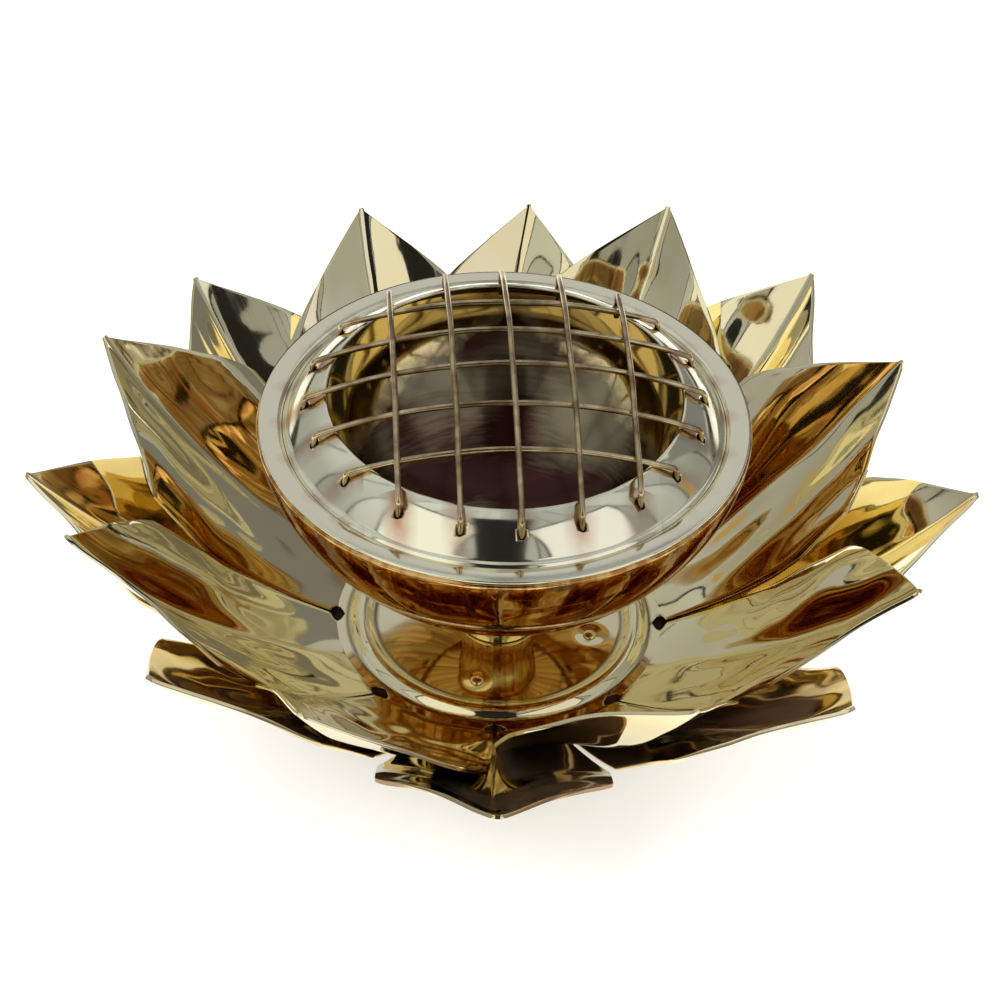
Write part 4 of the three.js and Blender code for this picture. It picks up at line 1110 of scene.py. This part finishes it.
folds = {"Value": folds, "From Min": 0.3, "From Max": 0.7, "To Min": -0.15, "To Max": 0.15}
folds = add(tree, "ShaderNodeMapRange", folds)
level = add(tree, "ShaderNodeMath", [level, folds], "ADD", use_clamp=True)
cloth_colours = {0: level, 6: (0.33, 0.34, 0.36, 1), 7: (0.50, 0.53, 0.60, 1)}
shade = add(tree, "ShaderNodeMix", cloth_colours, data_type="RGBA")
bearing = add(tree, "ShaderNodeMath", [spot["Y"], spot["X"]], "ARCTAN2")
panel = add(tree, "ShaderNodeMath", [bearing, TENT_PANELS / (2 * math.pi)], "MULTIPLY")
number = add(tree, "ShaderNodeMath", [panel], "ROUND")
paler = add(tree, "ShaderNodeTexWhiteNoise", {"W": number}, noise_dimensions="1D").outputs["Value"]
paler = add(tree, "ShaderNodeMapRange", {"Value": paler, "To Min": 0.75, "To Max": 1.35})
shade = add(tree, "ShaderNodeVectorMath", {0: shade.outputs[2], "Scale": paler}, "SCALE")
seam = add(tree, "ShaderNodeMath", [panel, 0.5, -0.5], "WRAP")
seam = add(tree, "ShaderNodeMath", [seam], "ABSOLUTE")
seam = add(tree, "ShaderNodeMath", [seam, SEAM_FROM], "GREATER_THAN")
skirt = add(tree, "ShaderNodeMath", [spot["Z"], SKIRT_TOP], "LESS_THAN")
seam = add(tree, "ShaderNodeMath", [seam, skirt], "MAXIMUM")
shade = add(tree, "ShaderNodeMix", {0: seam, 6: shade, 7: TENT_BLACK}, data_type="RGBA")
feed(tree, tree.nodes["Emission"], {"Color": shade.outputs[2]})
hang("tent_cloth", dome_mesh, cloth)


def card(name, direction, elevation, distance, width, height, colour):
    """Hangs a flat glowing card that faces the burner; its angles are degrees from +X and the floor."""
    a = math.radians(direction)
    e = math.radians(elevation)
    towards = Vector((math.cos(a) * math.cos(e), math.sin(a) * math.cos(e), math.sin(e)))
    x = width / 2
    y = height / 2
    mesh = bpy.data.meshes.new(name)
    mesh.from_pydata([(-x, -y, 0), (x, -y, 0), (x, y, 0), (-x, y, 0)], [], [(0, 1, 2, 3)])
    mesh.transform(towards.to_track_quat("Z", "Y").to_matrix().to_4x4())
    mesh.transform(Matrix.Translation(towards * distance))
    hang(name, mesh, glow_paint(name, colour))


LAMPS = [
    # name, direction, elevation, distance, width, height, brightness
    ("back_light", 100, 37, 1.2, 0.9, 0.4, 0.56),
    ("dark_corner", 48, 24, 1.3, 0.8, 0.8, 0.22),
    ("soft_front_left", 226, 42, 0.95, 0.55, 0.8, 1.0),
    ("soft_front_right", 318, 38, 0.95, 0.6, 0.8, 0.92),
    ("camera_gap", 270, 52, 0.85, 0.3, 0.7, 0.02),
]
FRAMED_FROM = 0.5
FRAME_WIDTH = 0.05
POST_BROWN = (0.50, 0.34, 0.13, 1)
for name, direction, elevation, distance, width, height, light in LAMPS:
    if light > FRAMED_FROM:
        grow = 1 + FRAME_WIDTH / width
        frame_size = (width * grow, height * grow)
        card(name + "_frame", direction, elevation, distance + 0.01, *frame_size, TENT_BLACK)
    cool_white = (0.94 * light, 0.95 * light, min(1.06 * light, 1), 1)
    card(name, direction, elevation, distance, width, height, cool_white)
for i, (direction, width) in enumerate([(-14, 0.07), (12, 0.05), (132, 0.08), (196, 0.05)]):
    card(f"wooden_post_{i}", direction, 12, 0.85, width, 0.4, POST_BROWN)

# White world, less strong for diffuse light, and three soft lamps that give the floor its shadow.
world = bpy.data.worlds.new("studio")
scene.world = world
world.use_nodes = True
tree = world.node_tree
tree.nodes.clear()
lit = {"Value": seen_directly(tree), "To Min": 0.55, "To Max": 1.0}
strength = add(tree, "ShaderNodeMapRange", lit)
sky = add(tree, "ShaderNodeBackground", {"Color": (1, 1, 1, 1), "Strength": strength})
add(tree, "ShaderNodeOutputWorld", {"Surface": sky})

for name, place, size_m, watts in (
    ("key", (-0.5, -0.5, 1.0), 0.6, 9),
    ("fill", (0.7, -0.2, 0.9), 0.7, 6),
    ("back", (0.1, 0.8, 0.8), 0.6, 4),
):
    lamp_data = bpy.data.lights.new(name, "AREA")
    lamp_data.size = size_m
    lamp_data.energy = watts
    lamp = put(name, lamp_data)
    lamp.location = place
    lamp.visible_glossy = False
    lamp.rotation_mode = "QUATERNION"
    lamp.rotation_quaternion = Vector(place).to_track_quat("Z", "Y")

scene.view_settings.view_transform = "Standard"
scene.cycles.glossy_bounces = 12
